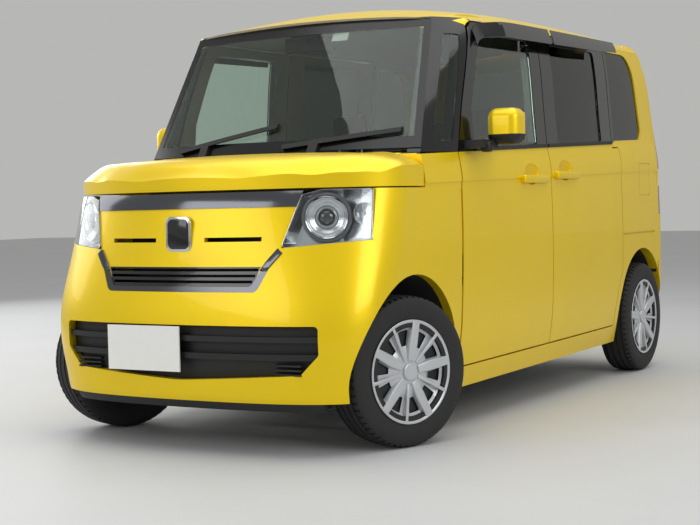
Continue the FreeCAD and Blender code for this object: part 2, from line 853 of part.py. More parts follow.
# Front wing, with its shoulder under the quarter window and the bonnet's hinge pin
fender_low_z = 246.0
fender_top_z = 951.5
hood_corner_y = -1105.0
shoulder_wall = 78.0
bonnet_axis = (-1085.0, 1075.0)
hinge_pin = 5.0
hinge_bore = 5.25
hinge_barrel = 9.0
bonnet_pin_x = (585.0, 690.0)
bonnet_barrel_x = (592.0, 622.0)
bonnet_arm = (592.0, 622.0, -1125.0, -1089.0, 1052.0, 1078.0)


def door_front_y(z):
    """Station of the front door's leading edge below the belt."""
    return between(z, (at(sill_heights, door_front_bottom_y) + door_bottom_rise,
                       at(belt_heights, door_front_belt_y)), (door_front_bottom_y, door_front_belt_y))


def fender_side_face():
    return face_yz([
        (lamp_side_low_y + seat_gap, lamp_outer_low_z),
        (lamp_side_low_y + bumper_seam_high[0] + seat_gap, bumper_seam_high[1], 60.0),
        (bumper_seam[0] + seat_gap, bumper_seam[1] + seat_gap),
        (bumper_seam[0] + bumper_seam_step + seat_gap, bumper_seam[1] - bumper_seam_step + seat_gap),
        (bumper_seam[0] + bumper_seam_step + seat_gap, fender_low_z),
        (door_front_bottom_y - shut_gap, fender_low_z), (door_front_y(fender_top_z) - shut_gap, fender_top_z),
        (lamp_side_top_y + seat_gap, fender_top_z)])


def shoulder_face():
    rear = door_front_belt_y - shut_gap
    belt = at(belt_heights, door_front_belt_y)
    return face_yz([
        (hood_corner_y + shut_gap, fender_top_z - shut_gap),
        (door_front_y(fender_top_z - shut_gap) - shut_gap, fender_top_z - shut_gap),
        (rear, belt), (hood_corner_y + shut_gap, belt)])


def build_fender():
    panel = nose_slab(bumper_wall).common(along_x(fender_side_face(), overrun))
    panel = panel.cut(along_x(arch_disc(front_axle_y, arch_radius)))
    first, last = hood_corner_y - overrun, door_front_belt_y + overrun
    stations = [first + (last - first) * i / 3 for i in range(4)]
    wings = []
    for band in side_bands[1:]:
        rows = [[V(plan_half(y) * s, y, z) for z, s in band_heights(band, y)] for y in stations]
        wings.append(patch(rows).extrude(V(-shoulder_wall, 0, 0)))
    shoulder = wings[0].fuse(wings[1:]).common(along_x(shoulder_face()))
    pin = rod(V(bonnet_pin_x[0], *bonnet_axis), V(bonnet_pin_x[1], *bonnet_axis), hinge_pin)
    return panel.fuse([shoulder, pin])


# Bonnet: a clamshell with rounded edges, crowned across
hood_front_top_z = 1046.0
hood_rear_top_z = 1100.0
hood_crown = 26.0
hood_edge_radius = 105.0
hood_wall = 24.0
hood_rear_bow = 22.0
hood_edge_z = 957.0
hood_columns = 20
hood_rows = 9
hood_edge_share = 0.42
hood_spare = 8.0
hood_front_y = -1620.0
hood_rear_y = -1070.0
hood_side_stations = (-1270.0, -1240.0, -1210.0, -1180.0, -1150.0, -1120.0, -1105.0)
hood_under = 500.0


def nose_edge_y(x):
    """Station of the nose's upper edge at a half width."""
    samples = nose_curve(len(nose_setbacks) - 1)
    return between(abs(x), [p.x for p in samples], [p.y for p in samples])


def roll(run):
    """Height at a run from the bonnet's edge, as a share of the full height."""
    rest = max(0, 1 - run / hood_edge_radius)
    return 1 - (1 - hood_edge_share) * rest ** 2


def hood_sheet(drop):
    """Top surface of the bonnet, lowered by a drop. Its front and side edges roll down."""
    edge = nose_curve(len(nose_setbacks) - 1)
    half = edge[-1].x
    rows = []
    for i in range(hood_columns + 1):
        x = (half + hood_spare) * (2 * i / hood_columns - 1)
        row = []
        for j in range(hood_rows + 1):
            y = hood_front_y + (hood_rear_y - hood_front_y) * j / hood_rows
            run = (y - front_y) / (hood_corner_y - front_y)
            top = hood_front_top_z + (hood_rear_top_z - hood_front_top_z) * run * (2 - run)
            top -= hood_crown * (x / half) ** 2
            away = min((V(x, y, 0) - V(math.copysign(p.x, x), p.y, 0)).Length for p in hood_outline(0))
            if abs(x) > half or y < nose_edge_y(x):
                away = 0
            row.append(V(x, y, hood_edge_z + (top - hood_edge_z) * roll(away) - drop))
        rows.append(row)
    return patch(rows)


def hood_outline(inset):
    """Left half of the bonnet's front and side edge, in plan, from the centre line back."""
    fine = nose_fine(len(nose_setbacks) - 1)
    points = [V(p.x - inset * max(0, p.x / fine[-1].x), p.y + inset, 0) for p in fine]
    points += [V(fine[-1].x - inset, y, 0) for y in hood_side_stations]
    return points


def hood_plan(inset):
    """Plan of the bonnet: the nose's upper edge, straight sides, bowed rear edge."""
    edge = nose_curve(len(nose_setbacks) - 1)
    half = edge[-1].x - inset
    left = [V(half * p.x / edge[-1].x, p.y + inset, 0) for p in edge]
    curve = Part.BSplineCurve()
    curve.interpolate([V(-p.x, p.y, 0) for p in reversed(left[1:])] + left)
    corner_left = V(half, hood_corner_y - inset, 0)
    corner_right = V(-half, hood_corner_y - inset, 0)
    rear = Part.Arc(corner_left, V(0, hood_corner_y + hood_rear_bow - inset, 0), corner_right)
    edges = [curve.toShape(), Part.makeLine(left[-1], corner_left), rear.toShape(),
             Part.makeLine(corner_right, V(-left[-1].x, left[-1].y, 0))]
    return Part.Face(Part.Wire(edges))


def build_bonnet():
    outer = along_z(hood_plan(0), hood_edge_z, reach).common(hood_sheet(0).extrude(V(0, 0, -hood_under)))
    inner = along_z(hood_plan(hood_wall), 0, reach).common(hood_sheet(hood_wall).extrude(V(0, 0, -hood_under)))
    bonnet = outer.cut(inner)
    for side in (1, -1):
        barrel = rod(V(bonnet_barrel_x[0], *bonnet_axis), V(bonnet_barrel_x[1], *bonnet_axis), hinge_barrel)
        barrel = barrel.fuse(box(*bonnet_arm))
        bore = rod(V(0, *bonnet_axis), V(beyond_x, *bonnet_axis), hinge_bore)
        if side < 0:
            barrel, bore = mirrored(barrel), mirrored(bore)
        bonnet = bonnet.fuse(barrel).cut(bore)
    return bonnet


# Doors: skins with window openings, and a hinge barrel on a pin that the hinge pillar carries
door_axis_y = -770.0
door_pin_z = (600.0, 690.0)
door_barrel_z = (612.0, 672.0)
door_axis_inset = 14.0
door_pocket = 34.0
door_pocket_front = 60.0
door_skin = 3.0
door_bracket = 14.0
hinge_pillar_box = (590.0, 655.0, -985.0, -832.0, 219.0, 799.7)
hinge_arm_x = (630.0, 650.0)


def door_axis():
    """Point on the front door's hinge axis."""
    middle = (door_pin_z[0] + door_pin_z[1]) / 2
    return side_x(door_axis_y, middle) - door_axis_inset


def build_front_door():
    door = side_slab.common(along_x(grown(front_door_face(), -shut_gap / 2)))
    door = door.cut(along_x(front_door_window_face()))
    x = door_axis()
    pocket = box(0, beyond_x, door_axis_y - door_pocket_front, door_axis_y + door_pocket,
                 door_pin_z[0] - door_pocket, door_pin_z[1])
    skin = side_slab.copy()
    skin.translate(V(-door_skin, 0, 0))
    door = door.cut(pocket.common(skin))
    low, high = door_barrel_z
    barrel = rod(V(x, door_axis_y, low), V(x, door_axis_y, high), hinge_barrel)
    barrel = barrel.fuse(box(x, x + door_axis_inset - door_skin / 2, door_axis_y - hinge_pin,
                             door_axis_y + hinge_pin, low, high))
    bore = rod(V(x, door_axis_y, low - overrun), V(x, door_axis_y, high + overrun), hinge_bore)
    return door.fuse(barrel).cut(bore)


def build_door_pin():
    """Hinge pin on a bent arm that reaches back from the hinge pillar and out into the door's pocket."""
    x = door_axis()
    high_y = door_axis_y + hinge_barrel
    low, high = door_pin_z[0] - door_bracket, door_pin_z[0]
    pin = rod(V(x, door_axis_y, low), V(x, door_axis_y, door_barrel_z[1] - hinge_pin), hinge_pin)
    outer = box(hinge_arm_x[0], x, door_axis_y - hinge_pin + seat_gap, high_y, low, high)
    arm = box(hinge_arm_x[0], hinge_arm_x[1], hinge_pillar_box[3] - hinge_barrel, high_y, low, high)
    return pin.fuse([outer, arm, box(*hinge_pillar_box)])


def build_sliding_door():
    door = side_slab.common(along_x(grown(sliding_door_face(), -shut_gap / 2)))
    return door.cut(along_x(sliding_window_face()))


# Tailgate with its window opening, spoiler lip and hinge barrels
spoiler_box = (-555.0, 555.0, 1493.5, 1560.0, 1650.0, 1790.0)
tailgate_window_low = (520.0, 1195.0)
tailgate_window_high = (500.0, 1610.0)
tailgate_axis = (1476.0, 1731.0)
tailgate_pin = 3.0
tailgate_bore = 3.25
tailgate_barrel = 6.0
tailgate_barrel_x = (90.0, 112.0)
tailgate_notch = (84.0, 118.0, 1464.0, 1500.0, 1650.0, 1790.0)
tailgate_arm = (90.0, 112.0, 1476.0, 1500.0, 1722.0, 1732.0)
tailgate_pin_x = (70.0, 132.0)
rear_plate_box = (-165.0, 165.0, 1690.5, 1696.5, 640.0, 805.0)
rear_plate_pocket = (-175.0, 175.0, 1690.2, 1720.0, 632.0, 813.0)
bumper_joint_x = 625.0
house_x = (540.0, 705.0)
rear_tyre_room = 290.0
rear_bumper_low_z = 196.0


def tailgate_window_face():
    (x0, z0), (x1, z1) = tailgate_window_low, tailgate_window_high
    return face_xz([(-x0, z0, 40.0), (x0, z0, 40.0), (x1, z1, 50.0), (-x1, z1, 50.0)])


def build_tailgate():
    gate = rear_wall.common(along_y(tailgate_face(), tail_first_y, reach))
    gate = gate.cut(along_y(tailgate_window_face(), 0, reach))
    spoiler = roof_sheet().extrude(V(0, 0, -roof_wall)).common(box(*spoiler_box))
    gate = gate.cut(box(-reach, reach, 0, spoiler_box[2], 0, reach)).fuse(spoiler)
    gate = gate.cut(box(*rear_plate_pocket))
    for side in (1, -1):
        barrel = rod(V(tailgate_barrel_x[0], *tailgate_axis), V(tailgate_barrel_x[1], *tailgate_axis),
                     tailgate_barrel).fuse(box(*tailgate_arm))
        bore = rod(V(0, *tailgate_axis), V(reach, *tailgate_axis), tailgate_bore)
        if side < 0:
            barrel, bore = mirrored(barrel), mirrored(bore)
        gate = gate.fuse(barrel).cut(bore)
    return gate


def hinge_roof(roof):
    """The roof with its two notches and pins for the tailgate."""
    for side in (1, -1):
        notch = box(*tailgate_notch)
        pin = rod(V(tailgate_pin_x[0], *tailgate_axis), V(tailgate_pin_x[1], *tailgate_axis), tailgate_pin)
        if side < 0:
            notch, pin = mirrored(notch), mirrored(pin)
        roof = roof.cut(notch).fuse(pin)
    return roof


def build_tailgate_window():
    pane = rear_wall.copy()
    pane.translate(V(0, -glass_inset, 0))
    behind = rear_wall.copy()
    behind.translate(V(0, -glass_inset - glass_thickness, 0))
    return pane.cut(behind).common(along_y(grown(tailgate_window_face(), -seat_gap), tail_first_y, reach))


def build_tail_lamp():
    room = box(0, reach, lamp_front_y + seat_gap, reach, lamp_low_z + seat_gap, lamp_high_z - seat_gap)
    return rear_corner.common(room).cut(along_y(grown(tailgate_face(), shut_gap), 0, reach))


def build_rear_bumper():
    """Centre and two corners of the rear bumper, which meet at hairline joints."""
    joint = bumper_joint_x
    low = box(-joint, joint, rear_bumper_front_y, reach, rear_bumper_low_z, rear_bumper_high_z - shut_gap)
    room = rod(V(house_x[0], rear_axle_y, tyre_radius), V(reach, rear_axle_y, tyre_radius), rear_tyre_room)
    centre = rear_wall.common(low).cut([room, mirrored(room)])
    corner = rear_corner.common(box(joint + seat_gap, reach, rear_bumper_front_y + seat_gap, reach,
                                    rear_bumper_low_z, rear_bumper_high_z))
    corner = corner.cut(along_x(arch_disc(rear_axle_y, arch_radius)))
    return [centre, corner, mirrored(corner)]


# Wheels, in a frame where u points outboard along the axle and the wheel centre is at the origin
rim_seat = 172.0
rim_inner = 163.0
rim_flange = 184.0
barrel_half = 70.0
flange_wall = 5.0
disc_inner_u = 44.0
disc_wall = 6.0
hub_radius = 58.0
hub_inner_u = 30.0
spindle_radius = 15.0
spindle_bore = 15.25
spindle_end_u = 56.0
cap_end_u = 68.0
cap_radius = 30.0
cap_edge = 6.0


def turned(profile):
    """Solid of revolution about the axle from (u, radius) corners."""
    wire = rounded_wire([(V(p[0], 0, p[1]), p[2] if len(p) > 2 else 0) for p in profile])
    return Part.Face(wire).revolve(V(0, 0, 0), V(1, 0, 0), 360.0)


def build_wheel():
    barrel = turned([
        (-barrel_half - flange_wall, rim_inner), (barrel_half + flange_wall, rim_inner),
        (barrel_half + flange_wall, rim_flange), (barrel_half, rim_flange), (barrel_half, rim_seat),
        (-barrel_half, rim_seat), (-barrel_half, rim_flange), (-barrel_half - flange_wall, rim_flange)])
    disc = turned([(disc_inner_u, spindle_bore), (disc_inner_u + disc_wall, spindle_bore),
                   (disc_inner_u + disc_wall, rim_inner + seat_gap), (disc_inner_u, rim_inner + seat_gap)])
    hub = turned([(hub_inner_u, spindle_bore), (disc_inner_u + seat_gap, spindle_bore),
                  (disc_inner_u + seat_gap, hub_radius), (hub_inner_u, hub_radius)])
    cap = turned([(spindle_end_u + hinge_pin, 0), (cap_end_u, 0), (cap_end_u, cap_radius, cap_edge),
                  (disc_inner_u + disc_wall - seat_gap, cap_radius + flange_wall),
                  (disc_inner_u + disc_wall - seat_gap, spindle_radius + flange_wall),
                  (spindle_end_u + hinge_pin, spindle_radius + flange_wall)])
    return barrel.fuse([disc, hub, cap])


# Tyre of flat facets: places across as shares of the half width, and outward from bead to tread
bead_gap = 0.35
tyre_facets = 60
tyre_profile_shares = ((-0.88, 0), (-0.885, 0.16), (-1.0, 0.5), (-0.965, 0.83), (-0.8, 0.975), (-0.4, 1.0),
                       (0.4, 1.0), (0.8, 0.975), (0.965, 0.83), (1.0, 0.5), (0.885, 0.16), (0.88, 0))

def build_tyre():
    """Tyre of flat facets: a closed profile repeated around the axle."""
    half = tyre_width / 2
    profile = [(u * half, rim_seat + bead_gap + (tyre_radius - rim_seat - bead_gap) * share)
               for u, share in tyre_profile_shares]
    profile[0] = (seat_gap - barrel_half, profile[0][1])
    profile[-1] = (barrel_half - seat_gap, profile[-1][1])
    rings = []
    for i in range(tyre_facets):
        turn = 2 * math.pi * i / tyre_facets
        rings.append([V(u, r * math.cos(turn), r * math.sin(turn)) for u, r in profile])
    faces = []
    for ring, following in zip(rings, rings[1:] + rings[:1]):
        for k in range(len(profile)):
            n = (k + 1) % len(profile)
            faces.append(Part.Face(Part.makePolygon([ring[k], ring[n], following[n], following[k], ring[k]])))
    solid = Part.makeSolid(Part.makeShell(faces))
    if solid.Volume < 0:
        solid.reverse()
    return solid


def at_wheel(shape, axle_y, steered=True):
    """The left wheel piece and its mirror image, set at the ends of an axle."""
    left = shape.copy()
    right = mirrored(shape)
    for piece, x in ((left, wheel_x), (right, -wheel_x)):
        if steered:
            piece.rotate(V(0, 0, 0), V(0, 0, 1), steer_at_rest)
        piece.translate(V(x, axle_y, tyre_radius))
    return left, right


# Knuckle: plate with an eye above and below the axle, and the spindle
eye_z = 105.0
eye_half = 12.0
eye_radius = 22.0
ball_pin = 10.0
ball_bore = 10.25
plate_box = (13.0, 27.0, -20.0, 20.0, -117.0, 117.0)
plate_disc = 62.0


def build_knuckle():
    body = box(*plate_box).fuse(rod(V(plate_box[0], 0, 0), V(plate_box[1], 0, 0), plate_disc))
    body = body.fuse(rod(V(plate_box[0], 0, 0), V(spindle_end_u, 0, 0), spindle_radius))
    for z in (eye_z, -eye_z):
        body = body.fuse(rod(V(0, 0, z - eye_half), V(0, 0, z + eye_half), eye_radius))
        body = body.cut(rod(V(0, 0, z - eye_half * 2), V(0, 0, z + eye_half * 2), ball_bore))
    return body


# Front suspension: crossmember, arms with ball pins, strut tubes
arm_radius = 12.0
arm_drop = 30.0
arm_inner_x = 330.0
crossmember_box = (-345.0, 345.0, -1232.0, -1162.0, 118.0, 168.0)
rail_box = (300.0, 350.0, -1580.0, -1000.3, 330.0, 430.0)
rail_post_box = (305.0, 345.0, -1222.0, -1172.0, 167.0, 331.0)
beam_box = (-420.0, 420.0, -1585.0, -1555.0, 340.0, 420.0)
strut_box = (300.0, 350.0, -1222.0, -1172.0, 429.0, 880.0)
strut_arm_box = (300.0, 640.0, -1222.0, -1172.0, 860.0, 890.0)


def build_front_suspension():
    whole = box(*crossmember_box).fuse(box(*beam_box))
    for side in (1, -1):
        post = box(*rail_post_box)
        rail = box(*rail_box)
        lower = rod(V(arm_inner_x, 0, -eye_z - arm_drop), V(wheel_x, 0, -eye_z - arm_drop), arm_radius)
        lower = lower.fuse(rod(V(wheel_x, 0, -eye_z - arm_drop), V(wheel_x, 0, eye_half - eye_z - hinge_pin), ball_pin))
        upper = rod(V(arm_inner_x, 0, eye_z + arm_drop), V(wheel_x, 0, eye_z + arm_drop), arm_radius)
        upper = upper.fuse(rod(V(wheel_x, 0, eye_z - eye_half + hinge_pin), V(wheel_x, 0, eye_z + arm_drop), ball_pin))
        pieces = [post, rail, box(*strut_box), box(*strut_arm_box)]
        for arm in (lower, upper):
            arm.translate(V(0, front_axle_y, tyre_radius))
            pieces.append(arm)
        if side < 0:
            pieces = [mirrored(piece) for piece in pieces]
        whole = whole.fuse(pieces)
    return whole


# Rear axle: twist beam, trailing arms, springs, stub axles
twist_beam = (-520.0, 520.0, 1165.0, 1215.0, 235.0, 285.0)
trailing_arm = (495.0, 535.0, 925.0, 1360.0, 240.0, 292.0)
spring_x = 500.0
spring_y = 1250.0
spring_z = (285.0, 479.7)
spring_radius = 38.0
stub_x = 520.0
backing_x = (566.0, 572.0)
backing_radius = 112.0


def build_rear_axle():
    whole = box(*twist_beam)
    for side in (1, -1):
        centre = V(0, rear_axle_y, tyre_radius)
        pieces = [box(*trailing_arm),
                  rod(V(spring_x, spring_y, spring_z[0]), V(spring_x, spring_y, spring_z[1]), spring_radius),
                  rod(centre + V(stub_x, 0, 0), centre + V(wheel_x + spindle_end_u, 0, 0), spindle_radius),
                  rod(centre + V(backing_x[0], 0, 0), centre + V(backing_x[1], 0, 0), backing_radius)]
        if side < 0:
            pieces = [mirrored(piece) for piece in pieces]
        whole = whole.fuse(pieces)
    return whole


# Floor: pan, raised rear floor, bulkhead, wheelhouses, front wheel liners
floor_box = (-690.0, 690.0, -1000.0, 925.0, 219.0, 244.0)
riser_box = (-560.0, 560.0, 905.0, 925.0, 219.0, 500.0)
rear_floor_box = (-560.0, 560.0, 905.0, 1640.0, 480.0, 500.0)
bulkhead_box = (-640.0, 640.0, -1000.0, -985.0, 219.0, 1071.7)
house_wall_box = (540.0, 560.0, 905.0, 1600.0, 219.0, 650.0)
liner_x = (352.0, 712.0)
liner_radii = (346.0, 360.0)
liner_low_z = 400.0
house_low_z = 400.0
axle_hole = 60.0


def half_ring(axle_y, radii, x_range, low_z):
    outer = rod(V(x_range[0], axle_y, arch_z), V(x_range[1], axle_y, arch_z), radii[1])
    inner = rod(V(x_range[0], axle_y, arch_z), V(x_range[1], axle_y, arch_z), radii[0])
    return outer.cut(inner).cut(box(-reach, reach, -reach, reach, -reach, low_z))


def build_floorpan(body_side, fender, bumper, rear_bumper):
    door_pin = build_door_pin()
    floor = box(*floor_box).fuse([box(*riser_box), box(*rear_floor_box), box(*bulkhead_box), door_pin,
                                  mirrored(door_pin)])
    for axle_y, x_range in ((rear_axle_y, house_x), (front_axle_y, liner_x)):
        room = rod(V(x_range[0], axle_y, arch_z), V(x_range[1], axle_y, arch_z), liner_radii[0])
        floor = floor.cut([room, mirrored(room)])
    pieces = []
    for axle_y, x_range, low_z in ((rear_axle_y, house_x, house_low_z), (front_axle_y, liner_x, liner_low_z)):
        pieces.append(half_ring(axle_y, liner_radii, x_range, low_z))
    wall = box(*house_wall_box).cut(rod(V(0, rear_axle_y, tyre_radius), V(reach, rear_axle_y, tyre_radius), axle_hole))
    pieces.append(wall)
    whole = floor.fuse(pieces + [mirrored(piece) for piece in pieces])
    for neighbour in (body_side, fender, corner):
        whole = whole.cut([neighbour, mirrored(neighbour)])
    whole = whole.cut([bumper] + rear_bumper)
    return max(whole.Solids, key=lambda solid: solid.Volume)


# Cowl plate below the windscreen, with two wipers lying on the glass
cowl_box = (-640.0, 640.0, -1040.0, -950.0, 1072.0, 1088.9)
wiper_foot_z = 1098.0
wiper_lines = (((-470.0, 1130.0), (20.0, 1215.0)), ((70.0, 1128.0), (560.0, 1180.0)))
wiper_half = 9.0
wiper_height = 16.0


def build_cowl(fender):
    cowl = box(*cowl_box).cut(screen_room()).cut([fender, mirrored(fender)])
    outside = screen_inward * -1.0
    for (x0, z0), (x1, z1) in wiper_lines:
        sheet = screen_sheet(-0.1, 1.0, 1.0)
        sheet.translate(outside * seat_gap / 2)
        strip = sheet.extrude(outside * wiper_height)
        face = face_xz([(x0, z0 - wiper_half), (x1, z1 - wiper_half), (x1, z1 + wiper_half), (x0, z0 + wiper_half)])
        foot = face_xz([(x0 + overrun * 3, wiper_foot_z), (x0 + overrun * 4, wiper_foot_z),
                        (x0 + overrun * 4, z0 + overrun / 2), (x0 + overrun * 3, z0 + overrun / 2)])
        cowl = cowl.fuse(strip.common(along_y(face, -reach, 0)))
        cowl = cowl.fuse(strip.common(along_y(foot, -reach, 0)))
    largest = sorted(cowl.Solids, key=lambda solid: -solid.Volume)
    return largest[:1 + len(wiper_lines)]


# Cabin: seats, dashboard, steering wheel
front_seat_blocks = ((-540.0, -120.0, -380.0, 110.0, 420.0, 590.0, 40.0),
                     (-540.0, -120.0, 60.0, 200.0, 560.0, 1150.0, 50.0),
                     (-440.0, -220.0, 120.0, 200.0, 1130.0, 1340.0, 35.0))
seat_base_box = (-470.0, -190.0, -300.0, 60.0, 244.3, 440.0)
rear_seat_blocks = ((-530.0, 530.0, 620.0, 1080.0, 500.3, 640.0, 40.0),
                    (-530.0, 530.0, 1030.0, 1160.0, 620.0, 1180.0, 45.0),
                    (-400.0, -180.0, 1070.0, 1140.0, 1160.0, 1330.0, 30.0),
                    (180.0, 400.0, 1070.0, 1140.0, 1160.0, 1330.0, 30.0))
rear_seat_base_box = (-500.0, 500.0, 660.0, 904.7, 244.3, 560.0)
dash_block = (-636.0, 636.0, -984.7, -690.0, 800.0, 1062.0, 50.0)
column_start = V(-340.0, -800.0, 880.0)
column_end = V(-340.0, -575.0, 962.0)
column_radius = 24.0
steering_pin = 9.0
steering_pin_length = 50.0
steering_bore = 9.25
steering_ring = 180.0
steering_tube = 13.0
steering_hub = 52.0
steering_hub_wall = 36.0
steering_spoke = 10.0


def build_seats():
    left = [rounded_box(*block) for block in front_seat_blocks] + [box(*seat_base_box)]
    left = left[0].fuse(left[1:])
    rear = [rounded_box(*block) for block in rear_seat_blocks] + [box(*rear_seat_base_box)]
    return left, mirrored(left), rear[0].fuse(rear[1:])


def build_dashboard():
    dash = rounded_box(*dash_block)
    axis = (column_end - column_start).normalize()
    dash = dash.fuse(rod(column_start, column_end, column_radius))
    return dash.fuse(rod(column_end - axis * hinge_pin, column_end + axis * steering_pin_length, steering_pin))


def build_steering_wheel():
    axis = (column_end - column_start).normalize()
    centre = column_end + axis * (steering_pin_length - steering_hub_wall / 2 + hinge_pin)
    ring = Part.makeTorus(steering_ring, steering_tube, centre, axis)
    hub_start = centre - axis * (steering_hub_wall / 2)
    hub = rod(hub_start, hub_start + axis * steering_hub_wall, steering_hub)
    across = V(1, 0, 0)
    upward = axis.cross(across)
    spokes = [rod(centre - across * steering_ring, centre + across * steering_ring, steering_spoke),
              rod(centre, centre - upward * steering_ring, steering_spoke)]
    if upward.z < 0:
        spokes[1] = rod(centre, centre + upward * steering_ring, steering_spoke)
    bore = rod(centre - axis * steering_hub_wall, column_end + axis * (steering_pin_length + hinge_pin), steering_bore)
    return ring.fuse([hub] + spokes).cut(bore)


# Engine and gearbox as one block, tank, exhaust, number plates
engine_box = (-299.7, 299.7, -1540.0, -1235.0, 260.0, 800.0)
tank_box = (-300.0, 420.0, -150.0, 420.0, 165.0, 218.7)
exhaust_points = ((-60.0, -1230.0, 300.0), (-60.0, -1180.0, 190.0), (-400.0, -900.0, 190.0), (-400.0, 1235.0, 190.0),
                  (-400.0, 1440.0, 330.0))
exhaust_radius = 22.0
muffler_box = (-430.0, 130.0, 1420.0, 1560.0, 280.0, 400.0, 30.0)
muffler_hanger_box = (-300.0, -260.0, 1470.0, 1510.0, 390.0, 479.7)
exhaust_hanger_box = (-410.0, -390.0, 480.0, 520.0, 185.0, 218.7)
front_plate_box = (-302.0, 28.0, -1697.5, -1691.5, 304.5, 469.5)
plate_bracket_box = (-200.0, -74.0, -1691.5, -1620.0, 350.0, 380.0)


def build_exhaust():
    pieces = [rounded_box(*muffler_box), box(*muffler_hanger_box), box(*exhaust_hanger_box)]
    for start, end in zip(exhaust_points[1:], exhaust_points[2:]):
        pieces.append(rod(V(*start), V(*end), exhaust_radius))
        pieces.append(Part.makeSphere(exhaust_radius, V(*start)))
    return pieces[0].fuse(pieces[1:]), box(*tank_box)


# Mirrors: shell on a foot that stands on the door
mirror_block = (762.0, 900.0, -640.0, -525.0, 1118.0, 1262.0, 40.0)
mirror_foot = (660.0, 800.0, -735.0, -600.0, 1104.0, 1136.0)
mirror_inner_x = 712.0


def build_mirror(door):
    foot = box(*mirror_foot).cut(box(0, mirror_inner_x, mirror_block[2], reach, 0, height))
    mirror = rounded_box(*mirror_block).fuse(foot).cut(door)
    return max(mirror.Solids, key=lambda solid: solid.BoundBox.XMax)


roof = build_roof()
body_side = build_body_side()
corner = build_rear_corner()
fender = build_fender()
bumper = build_front_bumper()
rear_bumper = build_rear_bumper()
front_door = build_front_door()
sliding_door = build_sliding_door()
pillar = build_front_pillar(roof)
lamp = build_headlamp()
tail_lamp = build_tail_lamp()
grille, trim = build_grille()
lower_grille = build_lower_grille()
door_glass = side_glass(front_door_window_face())
sliding_glass = side_glass(sliding_window_face())
quarter_glass = side_glass(quarter_window_face())
quarter_pane = front_quarter_pane()
mirror = build_mirror(front_door)
saved("floorpan", build_floorpan(body_side, fender, bumper, rear_bumper))
saved("body_sides", body_side, mirrored(body_side), corner, mirrored(corner))
saved("pillars", pillar, mirrored(pillar))
saved("roof", hinge_roof(roof))
saved("fenders", fender, mirrored(fender))
saved("front_bumper", bumper)
saved("rear_bumper", *rear_bumper)
saved("bonnet", build_bonnet())
saved("tailgate", build_tailgate())
saved("tailgate_window", build_tailgate_window())
saved("door_front_left", front_door)
saved("door_front_right", mirrored(front_door))
saved("sliding_door_left", sliding_door)
saved("sliding_door_right", mirrored(sliding_door))
saved("windscreen", screen_sheet().extrude(screen_inward * screen_thickness))
saved("fixed_side_windows", quarter_pane, mirrored(quarter_pane), quarter_glass, mirrored(quarter_glass))
saved("front_left_window", door_glass)
saved("front_right_window", mirrored(door_glass))
saved("sliding_left_window", sliding_glass)
saved("sliding_right_window", mirrored(sliding_glass))
saved("headlamps", lamp, mirrored(lamp))
saved("tail_lamps", tail_lamp, mirrored(tail_lamp))
saved("grille_panel", grille)
saved("grille_trim", *trim)
saved("lower_grille", lower_grille, build_air_dam())
saved("front_plate", box(*front_plate_box).fuse(box(*plate_bracket_box).cut(lower_grille).Solids[0]))
saved("rear_plate", box(*rear_plate_box))
saved("mirror_left", mirror)
saved("mirror_right", mirrored(mirror))
saved("cowl_and_wipers", *build_cowl(fender))
for name, shape in (("tyre", build_tyre()), ("wheel", build_wheel())):
    for place, axle_y, steered in (("front", front_axle_y, True), ("rear", rear_axle_y, False)):
        left, right = at_wheel(shape, axle_y, steered)
        saved(name + "_" + place + "_left", left)
        saved(name + "_" + place + "_right", right)
knuckle_left, knuckle_right = at_wheel(build_knuckle(), front_axle_y)
saved("knuckle_left", knuckle_left)
saved("knuckle_right", knuckle_right)
saved("suspension_front", build_front_suspension())
saved("rear_axle", build_rear_axle())
saved("engine", box(*engine_box))
saved("exhaust_and_tank", *build_exhaust())
saved("seats", *build_seats())
saved("dashboard", build_dashboard())
saved("steering_wheel", build_steering_wheel())
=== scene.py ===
import json
import math

import bpy
from mathutils import Matrix, Vector

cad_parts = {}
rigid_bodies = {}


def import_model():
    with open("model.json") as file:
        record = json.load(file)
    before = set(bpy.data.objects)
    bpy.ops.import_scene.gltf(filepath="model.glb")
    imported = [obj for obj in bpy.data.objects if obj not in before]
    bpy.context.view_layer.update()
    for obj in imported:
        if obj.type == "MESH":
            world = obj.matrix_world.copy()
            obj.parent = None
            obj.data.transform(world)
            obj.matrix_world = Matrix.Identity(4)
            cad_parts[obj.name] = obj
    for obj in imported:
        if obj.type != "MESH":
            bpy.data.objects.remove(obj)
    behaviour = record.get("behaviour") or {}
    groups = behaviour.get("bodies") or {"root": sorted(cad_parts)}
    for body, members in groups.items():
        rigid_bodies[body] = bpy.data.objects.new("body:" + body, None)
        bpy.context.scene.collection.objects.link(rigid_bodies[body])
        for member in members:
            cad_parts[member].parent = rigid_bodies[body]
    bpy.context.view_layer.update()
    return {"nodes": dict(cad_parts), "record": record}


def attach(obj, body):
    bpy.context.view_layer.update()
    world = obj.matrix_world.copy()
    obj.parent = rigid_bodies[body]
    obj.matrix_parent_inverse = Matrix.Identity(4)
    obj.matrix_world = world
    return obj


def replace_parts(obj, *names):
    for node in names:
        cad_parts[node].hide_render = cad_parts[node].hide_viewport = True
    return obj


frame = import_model()

# Underbody: pressed steel floorpan with its wheelhouses, crossmember, twist beam axle, knuckles, fuel tank
# and exhaust. The steel is welded, dipped in grey primer and sprayed with a dull black underseal.
WELD = 0.00002
CREASE_ANGLE = math.radians(32)
MM_IN_METRE = 1000
TANK_MIDDLE_Y, TANK_HALF_LENGTH = 0.135, 0.3
TANK_TOP_Z, TANK_RIGHT_X = 0.24, -0.31


def linear(colour):
    """sRGB hex to linear RGBA."""
    parts = [int(colour[i:i + 2], 16) / 255 for i in (1, 3, 5)]
    return [c / 12.92 if c <= 0.04045 else ((c + 0.055) / 1.055) ** 2.4 for c in parts] + [1.0]


